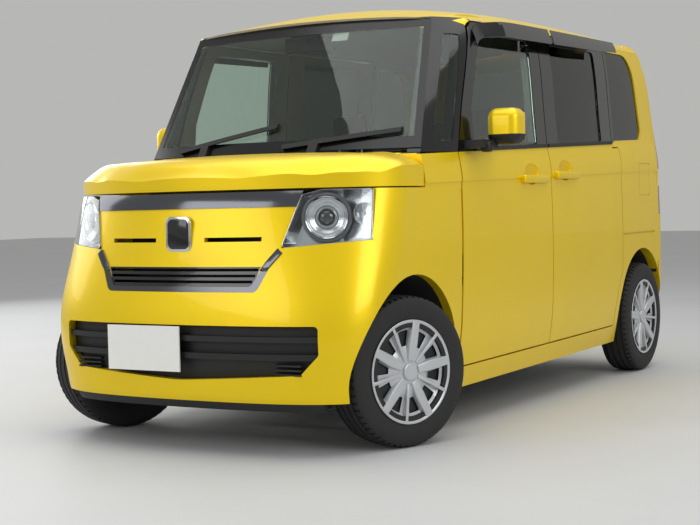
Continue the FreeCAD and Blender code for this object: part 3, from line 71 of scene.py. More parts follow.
def noise(tree, place, patch_mm, detail):
    """A noise with patches so many millimetres across."""
    node = tree.nodes.new("ShaderNodeTexNoise")
    node.inputs["Scale"].default_value = MM_IN_METRE / patch_mm
    node.inputs["Detail"].default_value = detail
    tree.links.new(place.outputs["Object"], node.inputs["Vector"])
    return node.outputs["Fac"]


def finish_of(name, colour, second, patch_mm, grain_mm=1.0, grain_depth_mm=0.0, **settings):
    """A material in one colour clouded with a second, with a fine surface grain."""
    material = bpy.data.materials.new(name)
    material.use_nodes = True
    tree = material.node_tree
    surface = tree.nodes["Principled BSDF"]
    surface.inputs["Base Color"].default_value = linear(colour)
    for socket, value in settings.items():
        surface.inputs[socket.replace("_", " ")].default_value = value
    place = tree.nodes.new("ShaderNodeTexCoord")
    mix = tree.nodes.new("ShaderNodeMix")
    mix.data_type = "RGBA"
    colour_a, colour_b, colour_out = mix.inputs[6], mix.inputs[7], mix.outputs[2]
    colour_a.default_value = linear(colour)
    colour_b.default_value = linear(second)
    tree.links.new(noise(tree, place, patch_mm, 3), mix.inputs["Factor"])
    tree.links.new(colour_out, surface.inputs["Base Color"])
    if grain_depth_mm:
        bump = tree.nodes.new("ShaderNodeBump")
        bump.inputs["Distance"].default_value = grain_depth_mm / MM_IN_METRE
        tree.links.new(noise(tree, place, grain_mm, 2), bump.inputs["Height"])
        tree.links.new(bump.outputs["Normal"], surface.inputs["Normal"])
    return material


def choose(*objects):
    """Leaves edit mode and selects only these."""
    if bpy.context.object and bpy.context.object.mode != "OBJECT":
        bpy.ops.object.mode_set(mode="OBJECT")
    bpy.ops.object.select_all(action="DESELECT")
    for one in objects:
        one.select_set(True)
    if objects:
        bpy.context.view_layer.objects.active = objects[0]


def opened(piece):
    """Opens a piece in edit mode with all of it selected."""
    choose(piece)
    bpy.ops.object.mode_set(mode="EDIT")
    bpy.ops.mesh.select_all(action="SELECT")


def creased(piece, angle=CREASE_ANGLE):
    """Shades a piece smooth up to its creases."""
    choose(piece)
    bpy.ops.object.shade_smooth_by_angle(angle=angle)
    return piece


def twin(piece):
    """A copy with its own mesh."""
    other = piece.copy()
    other.data = piece.data.copy()
    bpy.context.collection.objects.link(other)
    return other


def clean_copy(node):
    """A welded copy of a CAD node's mesh without its own normals and materials."""
    copy = twin(frame["nodes"][node])
    copy.name = node.replace("_", ".") + ".surface"
    copy.parent = None
    choose(copy)
    if copy.data.has_custom_normals:
        bpy.ops.mesh.customdata_custom_splitnormals_clear()
    opened(copy)
    bpy.ops.mesh.mark_sharp(clear=True)
    bpy.ops.mesh.remove_doubles(threshold=WELD)
    creased(copy)
    copy.data.materials.clear()
    return copy


def body_with(node):
    """A CAD node's body."""
    return next(body for body, nodes in frame["record"]["behaviour"]["bodies"].items() if node in nodes)


def dressed(node, *materials, pick=None):
    """A clean copy that stands for its CAD node. pick(centre, normal) gives a face's material number."""
    copy = clean_copy(node)
    for material in materials:
        copy.data.materials.append(material)
    if pick:
        for face in copy.data.polygons:
            face.material_index = pick(face.center, face.normal)
    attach(copy, body_with(node))
    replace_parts(copy, node)
    return copy


def on_tank(c, n):
    return int(abs(c.y - TANK_MIDDLE_Y) < TANK_HALF_LENGTH and c.z < TANK_TOP_Z and c.x > TANK_RIGHT_X)


# Underseal dries to a rough, slightly uneven skin, cast and bare steel to a duller grey, and the exhaust's
# aluminised tube keeps a soft metal shine
underseal = finish_of("black underseal", "#1B1B1D", "#26262A", 60, 4, 0.3, Roughness=0.8)
cast_steel = finish_of("cast steel", "#3A3B3E", "#2B2A2A", 30, 2, 0.15, Metallic=0.7, Roughness=0.55)
aluminised = finish_of("aluminised steel tube", "#7C7D7E", "#5E5A55", 50, 3, 0.1, Metallic=0.9, Roughness=0.42)
dressed("floorpan", underseal)
for node in ("suspension_front", "knuckle_left", "knuckle_right", "rear_axle", "engine"):
    dressed(node, cast_steel)
dressed("exhaust_and_tank", aluminised, underseal, pick=on_tank)


# Painted body: pressed steel doors, roof, wings, bonnet and tailgate with moulded bumpers, sprayed in one
# bright yellow pearl under a clear coat. Gloss black film covers the window frames above the belt.
BELT_FRONT = Vector((0, -1.1975, 1.072))
BELT_REAR = Vector((0, 1.3225, 1.176))
QUARTER_FRONT_Y = 0.956
FILM_TOP_Z = 1.632
TRIM_TURN = -0.4
CEILING_TURN = -0.5
ROLL_CREASE = math.radians(55)


def belt_z(y):
    """The foot of the side windows."""
    return BELT_FRONT.z + (BELT_REAR.z - BELT_FRONT.z) * (y - BELT_FRONT.y) / (BELT_REAR.y - BELT_FRONT.y)


def turned_in(c, n):
    """Whether a face of a side looks into the cabin."""
    return n.x * c.x < TRIM_TURN * abs(c.x)


# The pearl shows as a faint clouding of the yellow, the clear coat as orange peel about 6 mm across. The film
# mirrors its surroundings, the moulded door lining and the knitted roof lining are matt
paint = finish_of("yellow pearl paint", "#EFCB00", "#F3D202", 350, 6, 0.012, Metallic=0.4, Roughness=0.36,
                  Coat_Weight=0.3, Coat_Roughness=0.03, Specular_IOR_Level=0.3)
film = finish_of("gloss black film", "#08080A", "#0C0C0E", 200, 5, 0.01, Roughness=0.14, Coat_Weight=0.3)
door_lining = finish_of("grained beige door lining", "#B7AE9B", "#ADA490", 90, 1.5, 0.1, Roughness=0.75)
roof_lining = finish_of("brushed knit roof lining", "#D6D1C6", "#CCC7BB", 30, 2, 0.2, Roughness=0.95,
                        Sheen_Weight=0.3)

skins = {node: dressed(node, paint) for node in ("fenders", "bonnet", "front_bumper", "rear_bumper", "tailgate")}
creased(skins["bonnet"], ROLL_CREASE)
skins["roof"] = dressed("roof", paint, roof_lining, pick=lambda c, n: int(n.z < CEILING_TURN))
skins["body_sides"] = dressed(
    "body_sides", paint, film, roof_lining,
    pick=lambda c, n: 2 if turned_in(c, n) else int(belt_z(c.y) < c.z < FILM_TOP_Z and c.y < QUARTER_FRONT_Y))
for node in ("door_front_left", "door_front_right", "sliding_door_left", "sliding_door_right"):
    skins[node] = dressed(node, paint, film, door_lining,
                          pick=lambda c, n: 2 if turned_in(c, n) else int(c.z > belt_z(c.y)))
dressed("pillars", film, door_lining, pick=lambda c, n: int(turned_in(c, n)))


# Pressed lines in the painted sides: the fuel lid's gap on the left rear quarter, the sliding doors' rail
# slots and a thin seam above them, each folded in where two pressings meet.
LID_Y = (1.289, 1.455)
LID_Z = (0.905, 1.071)
LID_GAP = 0.0035
PRESS_DEPTH = 0.005
# A fold is its run along the car, its height and its depth: the rail slot, then the seam
FOLDS = (((1.019, 1.528), (0.7095, 0.7185), PRESS_DEPTH * 2), ((1.012, 1.503), (0.874, 0.878), PRESS_DEPTH / 3))
OUTER_TURN = 0.6
SIDES = ((1, "left"), (-1, "right"))


def with_faces(piece, test):
    """Opens a piece with only those faces selected that pass test(centre, normal)."""
    opened(piece)
    bpy.ops.mesh.select_mode(type="FACE")
    bpy.ops.mesh.select_all(action="DESELECT")
    bpy.ops.object.mode_set(mode="OBJECT")
    for face in piece.data.polygons:
        face.select = test(face.center, face.normal)
    bpy.ops.object.mode_set(mode="EDIT")


def pressed_in(piece, side, ys, zs, inside, depth):
    """Cuts the outer skin on one side along levels and presses in the faces that are inside."""
    def outer(c, n):
        return n.x * side > OUTER_TURN and c.x * side > 0

    for spot, normal in [((0, y, 0), (0, 1, 0)) for y in ys] + [((0, 0, z), (0, 0, 1)) for z in zs]:
        with_faces(piece, outer)
        bpy.ops.mesh.bisect(plane_co=spot, plane_no=normal)
    with_faces(piece, lambda c, n: outer(c, n) and inside(c))
    bpy.ops.mesh.extrude_region_move(TRANSFORM_OT_translate={"value": (-depth * side, 0, 0)})
    creased(piece)


def within(value, limits, margin=0.0):
    return limits[0] + margin < value < limits[1] - margin


def in_lid_gap(c):
    """Whether a face lies in the gap round the lid."""
    whole = within(c.y, LID_Y) and within(c.z, LID_Z)
    return whole and not (within(c.y, LID_Y, LID_GAP) and within(c.z, LID_Z, LID_GAP))


quarters = skins["body_sides"]
lid_cuts = [(low, low + LID_GAP, high - LID_GAP, high) for low, high in (LID_Y, LID_Z)]
pressed_in(quarters, 1, *lid_cuts, in_lid_gap, PRESS_DEPTH)
for side, hand in SIDES:
    for ys, zs, depth in FOLDS:
        pressed_in(quarters, side, ys, zs, lambda c: within(c.y, ys) and within(c.z, zs), depth)


# Door handles: a moulded grip in body colour, screwed on across a round dish that is pressed into each door.
# Front and sliding doors carry the same grip, the sliding door's further back and a little higher.
# A grip is its front end, rear end, middle height and the dish's place along the car
GRIPS = {"door_front": (-0.228, 0.043, 0.985, -0.115), "sliding_door": (0.135, 0.398, 1.004, 0.265)}
GRIP_HALF_HEIGHT = 0.017
GRIP_PROUD = 0.024
GRIP_SUNK = 0.004
GRIP_ROUND = (0.009, 4)
DISH_HALF = (0.02, 0.078, 0.047)
DISH_LIFT = 0.022
DISH_FACETS = (40, 24)
BESIDE_X = 2
SIDE_SKIN_X = 0.73


def skin_x(piece, y, z, side):
    """How far out a piece's skin lies, by a ray from outside."""
    hit, spot, turn, index = piece.ray_cast(Vector((BESIDE_X * side, y, z)), Vector((-side, 0, 0)))
    return spot.x if hit else side * SIDE_SKIN_X


def block(low, high):
    """A cube primitive between two corners."""
    choose()
    middle = [(a + b) / 2 for a, b in zip(low, high)]
    bpy.ops.mesh.primitive_cube_add(size=1, location=middle)
    piece = bpy.context.object
    piece.scale = [abs(b - a) for a, b in zip(low, high)]
    bpy.ops.object.transform_apply()
    return piece


def modified(piece, kind, **settings):
    """Adds a modifier and applies it."""
    choose(piece)
    modifier = piece.modifiers.new(kind.lower(), kind)
    for name, value in settings.items():
        setattr(modifier, name, value)
    bpy.ops.object.modifier_apply(modifier=modifier.name)
    return piece


def rounded(piece, radius, segments):
    """Rounds the sharp edges."""
    modified(piece, "BEVEL", width=radius, segments=segments, limit_method="ANGLE", angle_limit=CREASE_ANGLE)
    return creased(piece)


def fitted(piece, name, body, slot, *materials):
    """Names a new piece, gives it its finish and fixes it to a body."""
    piece.name = name
    piece.data.name = name
    piece.data.materials.clear()
    for material in materials:
        piece.data.materials.append(material)
    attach(piece, body)
    return piece


def moulded(name, body, slot, material, low, high, edge):
    """A rounded block between two corners, finished and fixed."""
    return fitted(rounded(block(low, high), *edge), name, body, slot, material)


for door, (front, rear, middle_z, dish_y) in GRIPS.items():
    for side, hand in SIDES:
        panel = skins[door + "_" + hand]
        base = min(abs(skin_x(panel, y, middle_z, side)) for y in (front, rear))
        choose()
        bpy.ops.mesh.primitive_uv_sphere_add(
            segments=DISH_FACETS[0], ring_count=DISH_FACETS[1], radius=1,
            location=(skin_x(panel, dish_y, middle_z + DISH_LIFT, side), dish_y, middle_z + DISH_LIFT))
        dish = bpy.context.object
        dish.scale = DISH_HALF
        bpy.ops.object.transform_apply()
        dish.data.materials.append(paint)
        modified(panel, "BOOLEAN", operation="DIFFERENCE", solver="EXACT", object=dish)
        bpy.data.objects.remove(dish)
        creased(panel)
        moulded(door.replace("_", ".") + ".grip." + hand, body_with(door + "_" + hand), "paint", paint,
                (side * (base - GRIP_SUNK), front, middle_z - GRIP_HALF_HEIGHT),
                (side * (base + GRIP_PROUD), rear, middle_z + GRIP_HALF_HEIGHT), GRIP_ROUND)


# Windows: laminated windscreen and tempered door glass with a faint green tint, dark privacy glass behind.
# Each pane is bonded into its opening; the windscreen has a black ceramic border printed round its edge.
SCREEN_LOW = (0.644, 1.107)
SCREEN_HIGH = (0.571, 1.627)
SCREEN_BORDER = 0.03
SCREEN_LOW_BORDER = 0.045
# Front glass lets the cabin show with a green cast, privacy glass leaves dim shapes, and the print is black
clear_glass = finish_of("green tinted laminated glass", "#DCEBE2", "#D8E8DF", 400, Roughness=0.0, IOR=1.45,
                        Transmission_Weight=1.0)
privacy_glass = finish_of("privacy glass", "#343A38", "#303634", 400, Roughness=0.0, IOR=1.45,
                          Transmission_Weight=1.0)
ceramic = finish_of("black ceramic print", "#0B0B0C", "#101012", 3, Roughness=0.22)


def cut_all(piece, planes):
    """Cuts a whole mesh along planes, each a point and a normal."""
    for spot, normal in planes:
        opened(piece)
        bpy.ops.mesh.bisect(plane_co=spot, plane_no=normal)
    choose(piece)


def marked_out(piece, foot, top, levels, border, inside):
    """Cuts a sheet along two levels and the two edges through (x, z) at foot and top, less a border.
    Faces between them get the material number `inside`, the others the other of two."""
    edge = Vector((top[1] - foot[1], 0, foot[0] - top[0])).normalized()
    cut_all(piece, [((0, 0, z), (0, 0, 1)) for z in levels]
            + [((side * (foot[0] - border), 0, foot[1]), (edge.x, 0, side * edge.z)) for side, hand in SIDES])
    for face in piece.data.polygons:
        rise = (face.center.z - foot[1]) / (top[1] - foot[1])
        reach = foot[0] + (top[0] - foot[0]) * rise - border
        between = within(face.center.z, levels) and abs(face.center.x) < reach
        face.material_index = inside if between else 1 - inside


screen = dressed("windscreen", clear_glass, ceramic)
marked_out(screen, SCREEN_LOW, SCREEN_HIGH, (SCREEN_LOW[1] + SCREEN_LOW_BORDER, SCREEN_HIGH[1] - SCREEN_BORDER),
           SCREEN_BORDER, 0)
for side, hand in SIDES:
    dressed("front_" + hand + "_window", clear_glass)
    dressed("sliding_" + hand + "_window", privacy_glass)
hatch_glass = dressed("tailgate_window", privacy_glass)
dressed("fixed_side_windows", clear_glass, privacy_glass, pick=lambda c, n: int(c.y > 0))


# Belt mouldings and rain visors: a black rubber-lipped moulding along the foot of the side windows, and
# smoked acrylic visors taped to the window frames, standing off at their lower edge.
BELT_STRIPS = {"door_front": (-0.635, 0.094), "sliding_door": (0.108, 0.917)}
BELT_STEPS = 6
STRIP_HEIGHT = 0.015
STRIP_STAND = 0.0015
STRIP_WALL = 0.006
# A visor's line is its stations along the car, each with its lower and upper edge
VISOR_LINES = {
    "door_front": ((-0.56, 1.52, 1.585), (-0.53, 1.545, 1.605), (-0.48, 1.56, 1.622), (-0.4, 1.564, 1.628),
                   (-0.3, 1.566, 1.633), (-0.11, 1.571, 1.637), (0.086, 1.576, 1.641)),
    "sliding_door": ((0.112, 1.577, 1.641), (0.36, 1.584, 1.645), (0.64, 1.59, 1.649), (0.905, 1.604, 1.652)),
}
VISOR_STAND = 0.009
VISOR_LEAN = 0.2
VISOR_WALL = 0.003
TAPE_BELOW = 0.004
# Rubber is dull with a fine grain, the acrylic a dark sheet with a mirror gloss
rubber_trim = finish_of("extruded black rubber", "#0F0F10", "#161617", 20, 2, 0.05, Roughness=0.5)
smoked = finish_of("smoked acrylic", "#15171A", "#121416", 300, Roughness=0.03, IOR=1.49,
                   Transmission_Weight=0.35, Coat_Weight=0.5)


def turned_out(piece):
    """Makes all faces look outwards."""
    opened(piece)
    bpy.ops.mesh.normals_make_consistent(inside=False)
    choose(piece)


def strip_on(piece, side, stations, stand, wall, lean=0.0):
    """A strip laid on a skin from (y, low, high) stations, standing off by `stand` at its lower edge.
    With a lean only its upper edge is laid on the skin, and it leans out by that share below."""
    count = len(stations) - 1
    choose()
    bpy.ops.mesh.primitive_grid_add(x_subdivisions=count, y_subdivisions=2, size=1)
    strip = bpy.context.object
    for corner in strip.data.vertices:
        y, low, high = stations[round((corner.co.x + 0.5) * count)]
        rise = corner.co.y + 0.5
        z = low + (high - low) * rise
        seat = high - TAPE_BELOW
        out = skin_x(piece, y, seat if lean else min(z, seat), side) + side * lean * (high - z)
        corner.co = (out + side * stand * (1 - rise ** 2), y, z)
    turned_out(strip)
    outward = sum(face.normal.x for face in strip.data.polygons) * side
    modified(strip, "SOLIDIFY", thickness=wall, offset=1 if outward > 0 else -1, use_even_offset=True)
    turned_out(strip)
    return creased(strip)


for door, (front, rear) in BELT_STRIPS.items():
    for side, hand in SIDES:
        panel = skins[door + "_" + hand]
        body = body_with(door + "_" + hand)
        title = door.replace("_", ".") + "." + hand
        ys = [front + (rear - front) * i / BELT_STEPS for i in range(BELT_STEPS + 1)]
        line = [(y, belt_z(y), belt_z(y) + STRIP_HEIGHT) for y in ys]
        fitted(strip_on(panel, side, line, STRIP_STAND, STRIP_WALL), "belt.moulding." + title, body,
               "black_plastic", rubber_trim)
        fitted(strip_on(panel, side, VISOR_LINES[door], VISOR_STAND, VISOR_WALL, VISOR_LEAN),
               "rain.visor." + title, body, "gloss_black", smoked)


# Grille: the upper part is a painted panel with a slot either side of a bare oval plaque, framed by a
# dark-chromed bar above and a dark-chromed U below. The intake under it has fine black louvres.
PLAQUE_CENTRE = Vector((0, -1.6415, 0.801))
PLAQUE_HALF = Vector((0.057, 0.006, 0.064))
PLAQUE_RIM, PLAQUE_LIFT = 0.009, 0.0012
PLAQUE_CORNER, PLAQUE_CORNER_STEPS = 0.026, 8
PLAQUE_ROUND = (0.0024, 3)
INTAKE_FOOT, INTAKE_TOP = (0.318, 0.612), (0.343, 0.682)
LEG_FOOT, LEG_TOP = (0.35, 0.664), (0.411, 0.737)
LEG_WIDTH, LEG_WALL, LEG_SUNK, LEG_STEPS = 0.026, 0.007, 0.001, 6
LEG_ROUND = (LEG_WALL / 4, 3)
AHEAD_Y = -3
NOSE_Y = -1.6
# Dark chrome mirrors dimly, bright chrome fully; ABS is smooth and wet-looking, polypropylene grained and dull
dark_chrome = finish_of("dark chrome plating", "#5D5F64", "#66686D", 300, Metallic=1.0, Roughness=0.13)
bright_chrome = finish_of("bright chrome plating", "#D9DADC", "#CFD0D3", 200, Metallic=1.0, Roughness=0.06)
gloss_black = finish_of("gloss black ABS", "#0A0A0B", "#0E0E10", 100, Roughness=0.1, Coat_Weight=0.5)
black_moulding = finish_of("grained black polypropylene", "#17181A", "#121314", 30, 1.2, 0.12, Roughness=0.55)
grille = dressed("grille_panel", paint, gloss_black)
marked_out(grille, INTAKE_FOOT, INTAKE_TOP, (INTAKE_FOOT[1], INTAKE_TOP[1]), 0, 1)
dressed("grille_trim", dark_chrome)


def from_ahead(piece, x, z):
    """Whether and where a ray from in front meets a piece, and the face's direction."""
    hit, spot, turn, index = piece.ray_cast(Vector((x, AHEAD_Y, z)), Vector((0, 1, 0)))
    return hit, spot, turn


def around(middle, half):
    """A block from its middle and half its size."""
    return block(Vector(middle) - Vector(half), Vector(middle) + Vector(half))


def nose_y(x, z):
    """The foremost painted face at a place across and up."""
    met = [from_ahead(piece, x, z) for piece in (grille, skins["front_bumper"])]
    return min([spot.y for hit, spot, turn in met if hit] or [NOSE_Y])


for side, hand in SIDES:
    choose()
    bpy.ops.mesh.primitive_grid_add(x_subdivisions=LEG_STEPS, y_subdivisions=1, size=1)
    leg = bpy.context.object
    foot = Vector((LEG_FOOT[0], 0, LEG_FOOT[1]))
    run = Vector((LEG_TOP[0] - LEG_FOOT[0], 0, LEG_TOP[1] - LEG_FOOT[1]))
    aside = Vector((run.z, 0, -run.x)).normalized() * LEG_WIDTH
    for corner in leg.data.vertices:
        place = foot + run * (corner.co.x + 0.5) + aside * corner.co.y
        corner.co = (side * place.x, nose_y(side * place.x, place.z) + LEG_SUNK, place.z)
    outward = sum(face.normal.y for face in leg.data.polygons)
    modified(leg, "SOLIDIFY", thickness=LEG_WALL, offset=1 if outward < 0 else -1)
    turned_out(leg)
    rounded(leg, *LEG_ROUND)
    fitted(leg, "grille.leg." + hand, "body", "chrome", dark_chrome)
for name, shrink, proud, slot, material in (
        ("bare.plaque.rim", 0, 0, "chrome", bright_chrome),
        ("bare.plaque.face", PLAQUE_RIM, PLAQUE_LIFT, "gloss_black", gloss_black)):
    plaque = around(PLAQUE_CENTRE - Vector((0, proud / 2, 0)), PLAQUE_HALF - Vector((shrink, -proud / 2, shrink)))
    opened(plaque)
    bpy.ops.mesh.select_mode(type="EDGE")
    bpy.ops.mesh.select_all(action="DESELECT")
    bpy.ops.object.mode_set(mode="OBJECT")
    for edge in plaque.data.edges:
        ends = [plaque.data.vertices[i].co for i in edge.vertices]
        edge.select = abs(ends[0].y - ends[1].y) > PLAQUE_HALF[1]
    bpy.ops.object.mode_set(mode="EDIT")
    bpy.ops.mesh.bevel(offset=PLAQUE_CORNER - shrink / 2, segments=PLAQUE_CORNER_STEPS)
    rounded(plaque, *PLAQUE_ROUND)
    fitted(plaque, name, "body", slot, material)


# Lower grille: an injection moulded black insert with two bars and a few short slats at each end, carrying
# the blank white number plate on its bracket.
SLAT_X = 0.45
SLAT_Z = (0.302, 0.318, 0.334)
SLAT_SEAT_Z = 0.363
# A slat's corners: across, behind the face of the insert, and above its middle
SLAT = ((0.395, 0.003, -0.0035), (0.505, 0.027, 0.0035))
SLAT_ROUND = (0.0012, 2)
PLATE_BACK_Y = -1.6912
# Enamel is smooth and white with a thin gloss
plate_enamel = finish_of("white plate enamel", "#F0F0EC", "#E9E9E5", 50, 3, 0.01, Roughness=0.3, Coat_Weight=0.3)
insert = dressed("lower_grille", black_moulding)
for side, hand in SIDES:
    hit, spot, turn = from_ahead(insert, side * SLAT_X, SLAT_SEAT_Z)
    slats = [block(*[(side * x, spot.y + behind, z + rise) for x, behind, rise in SLAT]) for z in SLAT_Z]
    choose(*slats)
    bpy.ops.object.join()
    fitted(rounded(bpy.context.object, *SLAT_ROUND), "lower.grille.slats." + hand, "body", "black_plastic",
           black_moulding)
dressed("front_plate", plate_enamel, black_moulding, pick=lambda c, n: int(c.y > PLATE_BACK_Y))
dressed("rear_plate", plate_enamel)


# Headlamps: a clear polycarbonate cover over a deep metallised housing. A large ringed projector sits in its
# outer half, with a smaller reflector bowl toward the corner; the housing is bolted behind the bumper.
# Profiles are (along, radius) points from a lamp's middle; places are (x, z) seen from the front
PROJECTOR = (0.553, 0.851)
PROJECTOR_SET_BACK = 0.034
CORNER_BOWL = (0.664, 0.862)
CORNER_SET_BACK = 0.026
PROJECTOR_RING = ((0.004, 0.07), (0.016, 0.0715), (0.018, 0.075), (0.014, 0.0775), (0.000, 0.0775),
                  (0.004, 0.07))
PROJECTOR_BOWL = ((0.012, 0.07), (0.004, 0.064), (0.002, 0.056), (-0.004, 0.05), (-0.006, 0.043),
                  (-0.012, 0.038), (-0.012, 0.03))
PROJECTOR_SLEEVE = ((-0.012, 0.033), (0.004, 0.032), (0.006, 0.03), (0.004, 0.0285), (-0.014, 0.0285),
                    (-0.012, 0.033))
PROJECTOR_LENS = ((-0.013, 0.0285), (-0.003, 0.027), (0.003, 0.021), (0.007, 0.012), (0.0082, 0.004),
                  (0.0083, 0))
HOUSING_COLLAR = ((0.000, 0.077), (0.004, 0.08), (0.006, 0.086), (0.000, 0.09), (-0.02, 0.09),
                  (-0.02, 0.077), (0.000, 0.077))
CORNER_PROFILE = ((0.01, 0.04), (0.004, 0.0385), (0.000, 0.034), (-0.008, 0.028), (-0.013, 0.018),
                  (-0.016, 0.009))
CORNER_BULB = ((-0.016, 0.01), (0.000, 0.0095), (0.006, 0.006), (0.008, 0))
LAMP_STEPS = 64
SHELL_WALL, HOUSING_WALL, COVER_WALL = 0.0012, 0.0015, 0.003
COVER_WAY = (0.6, -0.8)
COVER_TURN, COVER_LEVEL = 0.35, 0.75
START_SIZE = 0.001
ROUND = 2 * math.pi
# The cover is clear as water, the metallised bowls a soft bright mirror, the shell a duller grey
lamp_cover = finish_of("clear polycarbonate", "#F4F7F8", "#EFF3F4", 300, Roughness=0.0, IOR=1.45,
                       Transmission_Weight=1.0)
metallised = finish_of("vacuum metallised reflector", "#E4E6E8", "#CDD0D3", 25, 6, 0.35, Metallic=1.0,
                       Roughness=0.24)
lamp_shell = finish_of("grey lamp housing", "#84878B", "#989B9F", 30, 5, 0.3, Metallic=0.8, Roughness=0.3)
projector_glass = finish_of("projector lens glass", "#20262A", "#181D20", 20, Roughness=0.02, IOR=1.5,
                            Coat_Weight=1.0, Specular_IOR_Level=0.8)
# Each lamp: its place, how far behind the cover its middle lies, and its shapes
LAMPS = ((PROJECTOR, PROJECTOR_SET_BACK, (
             ("lamp.ring", PROJECTOR_RING, bright_chrome), ("lamp.bowl", PROJECTOR_BOWL, metallised),
             ("lamp.sleeve", PROJECTOR_SLEEVE, bright_chrome), ("lamp.projector", PROJECTOR_LENS, projector_glass),
             ("lamp.collar", HOUSING_COLLAR, lamp_shell))),
         (CORNER_BOWL, CORNER_SET_BACK, (
             ("lamp.corner.bowl", CORNER_PROFILE, metallised), ("lamp.corner.bulb", CORNER_BULB, lamp_cover))))


def lathed(profile, centre, axis, steps):
    """A shape of revolution: (along, radius) points drawn by extrusion and spun."""
    centre = Vector(centre)
    axis = Vector(axis).normalized()
    sideways = axis.orthogonal().normalized()
    places = [centre + axis * a + sideways * r for a, r in profile]
    choose()
    bpy.ops.mesh.primitive_plane_add(size=START_SIZE, location=places[0])
    piece = bpy.context.object
    bpy.ops.object.transform_apply()
    opened(piece)
    bpy.ops.mesh.select_mode(type="VERT")
    bpy.ops.mesh.merge(type="CENTER")
    for start, end in zip(places, places[1:]):
        bpy.ops.mesh.extrude_vertices_move(TRANSFORM_OT_translate={"value": end - start})
    opened(piece)
    bpy.ops.mesh.spin(steps=steps, angle=ROUND, center=centre, axis=axis)
    opened(piece)
    bpy.ops.mesh.remove_doubles(threshold=WELD)
    bpy.ops.mesh.normals_make_consistent(inside=False)
    return creased(piece)


def split_off(piece, test):
    """Separates the faces that pass a test into a new object."""
    before = set(bpy.data.objects)
    with_faces(piece, test)
    bpy.ops.mesh.separate(type="SELECTED")
    choose(piece)
    return next(one for one in bpy.data.objects if one not in before)


def across(piece):
    """A copy on the other side of the car, with its own mesh."""
    other = twin(piece)
    other.data.transform(Matrix.Scale(-1, 4, (1, 0, 0)))
    other.data.flip_normals()
    return other


def on_cover(c, n):
    """Whether a face of the lamp looks forward or out to its corner."""
    return n.y * COVER_WAY[1] + n.x * math.copysign(COVER_WAY[0], c.x) > COVER_TURN and abs(n.z) < COVER_LEVEL


lamps = clean_copy("headlamps")
covers = split_off(lamps, on_cover)
lamp_parts = []
for (x, z), back, shapes in LAMPS:
    hit, spot, turn = from_ahead(covers, x, z)
    turn.z = 0
    turn.normalize()
    for name, profile, material in shapes:
        part = lathed(profile, spot - turn * back, turn, LAMP_STEPS)
        if profile[0] != profile[-1] and profile[-1][1] > 0:
            modified(part, "SOLIDIFY", thickness=SHELL_WALL, offset=-1)
        lamp_parts.append((part, name, material))
for part, name, material in lamp_parts:
    fitted(across(part), name + ".right", "body", "chrome", material)
    fitted(part, name + ".left", "body", "chrome", material)
for piece, wall, material, name in ((covers, COVER_WALL, lamp_cover, "headlamp.covers"),
                                    (lamps, HOUSING_WALL, metallised, "headlamp.housings")):
    modified(piece, "SOLIDIFY", thickness=wall, offset=-1)
    fitted(piece, name, "body", "lamp_glass", material)
    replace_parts(piece, "headlamps")


# Cowl and wipers: a grained black moulding below the windscreen that hides the wiper motor, with two painted
# steel arms on its spindles and a rubber blade on each, parked on the glass.
dressed("cowl_and_wipers", black_moulding)


# Door mirrors: a body-coloured upper shell over a black lower half, on a black foot that is bolted to the
# door. A chromed glass lies in the back of each shell.
MIRROR_SPLIT_Z = 1.166
MIRROR_FOOT_X = 0.762
MIRROR_BACK_Y, MIRROR_BACK_TURN = -0.53, 0.9
MIRROR_GLASS = ((0.778, -0.5262, 1.134), (0.886, -0.5242, 1.246))
GLASS_EDGE = (0.0008, 2)
# Silvered glass shows its surroundings almost unchanged
mirror_silver = finish_of("silvered mirror glass", "#DDE1E4", "#D5DADD", 300, Metallic=1.0, Roughness=0.02)


def on_black(c, n):
    """Whether a face of a mirror is on its foot, its lower half or its back."""
    back = n.y > MIRROR_BACK_TURN and c.y > MIRROR_BACK_Y
    return int(c.z < MIRROR_SPLIT_Z or abs(c.x) < MIRROR_FOOT_X or back)


for side, hand in SIDES:
    dressed("mirror_" + hand, paint, black_moulding, pick=on_black)
    glass = block(*[(side * x, y, z) for x, y, z in MIRROR_GLASS])
    opened(glass)
    bpy.ops.mesh.bevel(offset=GLASS_EDGE[0], segments=GLASS_EDGE[1])
    fitted(glass, "mirror.glass." + hand, "front_door_" + hand, "chrome", mirror_silver)


# Tail lamps: a moulded red acrylic cluster in each rear corner with a clear band through its middle, screwed
# to the body from inside the tailgate opening.
TAIL_BAND_Z = (0.955, 1.045)
# Red acrylic glows deep under a gloss, the clear lens is cloudy from its ribs
red_lens = finish_of("red acrylic lens", "#8E0B0B", "#7C0808", 60, 4, 0.1, Roughness=0.06, Coat_Weight=1.0,
                     Transmission_Weight=0.2)
clear_lens = finish_of("clear ribbed acrylic lens", "#D9D4D2", "#C6C0BE", 12, 5, 0.4, Roughness=0.08,
                       Coat_Weight=1.0)
tails = dressed("tail_lamps", red_lens, clear_lens)
cut_all(tails, [((0, 0, z), (0, 0, 1)) for z in TAIL_BAND_Z])
for face in tails.data.polygons:
    face.material_index = int(within(face.center.z, TAIL_BAND_Z))


# Wheels: black pressed steel wheels with a snapped-on silver cover of five broad and five narrow blades
# over kidney-shaped vents. Tyres 155/65R14 with four grooves and open shoulders.
# Cover and tyre are modelled once on a wheel's own axis, along X; points are (along, radius)
COVER_RINGS = ((0.058, 0.024), (0.064, 0.032), (0.064, 0.062), (0.057, 0.097), (0.058, 0.153), (0.068, 0.171),
               (0.0775, 0.184), (0.0785, 0.189), (0.0765, 0.192))
COVER_STEPS = 80
DISC_WALL, DISC_ROUND = 0.0025, (0.0012, 2)
VENT_RADII = (0.099, 0.151)
VENT_STEPS = (2, 6)
